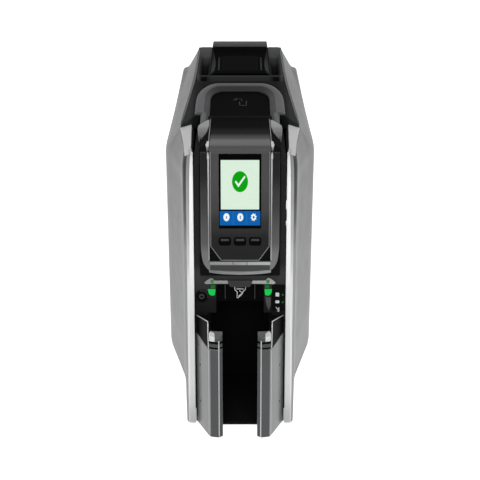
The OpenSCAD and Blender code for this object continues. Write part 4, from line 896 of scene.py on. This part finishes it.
for row in range(len(LID_ROWS) - 1):
    for k in range(COUNT):
        a, b = row * COUNT + k, row * COUNT + (k + 1) % COUNT
        faces.append([a, b, b + COUNT, a + COUNT])
        # painted light: the flat top and the outer flanks take lit copies of the black
        flat_top = k == 1 and LID_ROWS[row][0] >= LID_BACK
        marks.append(1 if flat_top else 2 if k in (0, 2) else 0)
last = (len(LID_ROWS) - 1) * COUNT
faces += [list(range(COUNT)), [last + k for k in reversed(range(COUNT))]]
marks += [0, 1]
piece("lid_shell", points, faces, "hopper_lid", "lid_black", stands_for=["input_hopper_cover"],
      looks=("lid_top", "lid_flank"), marks=marks, edge=0.7, sharp=50)
knuckle = arc(HINGE_Y, HINGE_Z, KNUCKLE_R, 0, 345, 23)
web = [(HINGE_Y - 2, HINGE_Z), (HINGE_Y + 2, HINGE_Z), (HINGE_Y + 2, 282), (HINGE_Y - 2, 282)]
for k, (x0, x1) in enumerate(((-29, -20), (20, 29))):
    crosswise(f"lid_knuckle_{k + 1}", knuckle, x0, x1, "hopper_lid", "black_casing", edge=0.3)
    crosswise(f"lid_knuckle_web_{k + 1}", web, x0, x1, "hopper_lid", "black_casing", edge=0.3)


def on_lid(name, plan, rise, look, edge):
    """A plate standing a little over the slope of the lid."""
    raised(name, plan, lambda y: lid_height(y) - 0.6, lambda y: lid_height(y) + rise, "hopper_lid", look,
           edge=edge)


on_lid("lid_window", rounded(43, 46, 2, 0, 133), 0.35, "lid_window", 0.3)
for k, x in enumerate((-24.6, 24.6)):
    on_lid(f"lid_rail_{k + 1}", rounded(2.2, 40, 1, x, 131), 0.6, "lid_flank", 0.4)

# ---------- rear shoulders ----------

BIN_X = 34.6                     # half width at the rim of the card bin
# how deep the shoulder is dished at each Y, and the share of that at each part of its width
DISH_Y = [(94.4, 3.0), (96, 0.8), (97.2, 0.0), (101, 0.0), (102.2, 3.0), (105, 8.0), (113, 10.5), (125, 9.0),
          (140, 6.8), (155, 4.4), (170, 2.6), (185, 1.2), (200, 0.4), (213, 0.0), (216.4, 0.0)]
DISH_X = [(0.0, 0.0), (0.06, 0.12), (0.16, 0.5), (0.3, 0.88), (0.45, 1.0), (0.6, 0.88), (0.74, 0.5),
          (0.84, 0.16), (0.9, 0.0), (1.0, 0.0)]


def shoulder_edge(y):
    """Half width of the deck: 1.5 inside the crest of the casings, which draw in to the rear."""
    return 51.2 - (y - 90) * 1.7 / 126.7 - 1.5


def shoulder(s):
    """Points and faces of one dished shoulder."""
    m, n = len(DISH_X), len(DISH_Y)
    points = [(s * (BIN_X + t * (shoulder_edge(y) - BIN_X)), y, DECK_TOP - deep * share)
              for y, deep in DISH_Y for t, share in DISH_X]
    base = len(points)
    points += [(x, y, DECK_FOOT) for x, y, z in points]
    faces = []
    for i in range(n - 1):
        for j in range(m - 1):
            a = i * m + j
            faces += [[a, a + 1, a + m + 1, a + m], [base + a, base + a + m, base + a + m + 1, base + a + 1]]
    rim = (list(range(m)) + [i * m + m - 1 for i in range(1, n)]
           + [(n - 1) * m + j for j in range(m - 2, -1, -1)] + [i * m for i in range(n - 2, 0, -1)])
    faces += [[a, base + a, base + b, b] for a, b in zip(rim, rim[1:] + rim[:1])]
    return points, faces


BIN_EDGE = [(30.7, 99.5), (BIN_X, 99.5), (BIN_X, 195.5), (30.7, 195.5)]
LID_EAR = [(33.9, 206), (37.5, 206), (37.5, 216.5), (33.9, 216.5)]
for side, s in SIDES:
    piece(f"{side}_shoulder", *shoulder(s), "chassis", "deck_black",
          stands_for=["rear_deck"] if s < 0 else (), sharp=50)
    raised(f"{side}_bin_edge", on_side(s, BIN_EDGE), DECK_FOOT, DECK_TOP, "chassis", "black_casing",
           edge=0.5)
    raised(f"{side}_lid_ear", on_side(s, LID_EAR), 263, 275.5, "chassis", "black_casing", edge=0.5)
for name, y0, y1, look in (("front_bin_edge", 96.2, 101.5, "deck_black"),
                           ("rear_bin_edge", 193.4, 196.0, "black_casing")):
    raised(name, [(-BIN_X, y0), (BIN_X, y0), (BIN_X, y1), (-BIN_X, y1)], DECK_FOOT, DECK_TOP, "chassis",
           look, edge=0.8)

# ---------- camera, light and floor; from here on in metres ----------

CAMERA_PLACE, CAMERA_TILT, LENS = (0, -1.1154, 0.6583), 64, 82.2
# what the surroundings give the object, and what the camera and reflections see of them
ROOM_LIGHT, ROOM_WHITE = 0.22, 1.0
FLOOR_LIFT, FLOOR_HALF = 0.8, 14.0

camera = bpy.data.objects.new("camera", bpy.data.cameras.new("camera"))
bpy.context.scene.collection.objects.link(camera)
camera.location = CAMERA_PLACE
camera.rotation_euler = (math.radians(CAMERA_TILT), 0, 0)
camera.data.lens = LENS
camera.data.sensor_width = 36
camera.data.clip_start = 0.01
bpy.context.scene.camera = camera
bpy.context.scene.view_settings.view_transform = "Standard"


def softbox(name, place, aim, size, power):
    """A rectangular lamp turned towards a point."""
    lamp = bpy.data.lights.new(name, "AREA")
    lamp.shape = "RECTANGLE"
    lamp.size, lamp.size_y = size
    lamp.energy = power
    obj = bpy.data.objects.new(name, lamp)
    bpy.context.scene.collection.objects.link(obj)
    obj.location = place
    obj.rotation_euler = (Vector(aim) - Vector(place)).to_track_quat("-Z", "Y").to_euler()


softbox("key_light", (0.0, -1.7, 1.2), (0, 0, 0.12), (1.4, 0.9), 20)
softbox("top_light", (0.0, -0.2, 1.7), (0, 0, 0.2), (1.0, 0.7), 5)
for side, s in SIDES:
    softbox(f"{side}_light", (s * 1.6, -0.3, 0.8), (0, 0, 0.15), (0.7, 1.2), 4)


def make_world():
    """White surroundings that light the object softly."""
    world = bpy.data.worlds.new("studio")
    bpy.context.scene.world = world
    world.use_nodes = True
    tree = world.node_tree
    tree.nodes.clear()
    new, link = tree.nodes.new, tree.links.new
    out = new("ShaderNodeOutputWorld")
    path = new("ShaderNodeLightPath")
    mix = new("ShaderNodeMixShader")
    for k, strength in enumerate((ROOM_LIGHT, ROOM_WHITE)):
        ground = new("ShaderNodeBackground")
        ground.inputs["Color"].default_value = (1, 1, 1, 1)
        ground.inputs["Strength"].default_value = strength
        link(ground.outputs["Background"], mix.inputs[k + 1])
    seen = path.outputs["Is Camera Ray"]
    for ray in ("Is Glossy Ray", "Is Transmission Ray"):
        either = new("ShaderNodeMath")
        either.operation = "MAXIMUM"
        link(seen, either.inputs[0])
        link(path.outputs[ray], either.inputs[1])
        seen = either.outputs["Value"]
    link(seen, mix.inputs["Fac"])
    link(mix.outputs["Shader"], out.inputs["Surface"])


def make_floor():
    """A floor that reads white to the camera and in reflections, and keeps the shadow."""
    mesh = bpy.data.meshes.new("floor")
    h = FLOOR_HALF
    mesh.from_pydata([(-h, -h, 0), (h, -h, 0), (h, h, 0), (-h, h, 0)], [], [(0, 1, 2, 3)])
    obj = bpy.data.objects.new("floor", mesh)
    bpy.context.scene.collection.objects.link(obj)
    n = Nodes("floor")
    n.link(n.ramp(n.noise(3), [(0.2, (0.9,) * 3), (0.8, (0.94,) * 3)]), n.bsdf.inputs["Base Color"])
    path = n.new("ShaderNodeLightPath")
    seen = n.maths("MAXIMUM", path.outputs["Is Camera Ray"], path.outputs["Is Glossy Ray"])
    n.link(n.maths("MULTIPLY", seen, FLOOR_LIFT), n.bsdf.inputs["Emission Strength"])
    n.set(Roughness=0.8, Emission_Color=(1, 1, 1, 1))
    obj.data.materials.append(n.mat)


make_world()
make_floor()
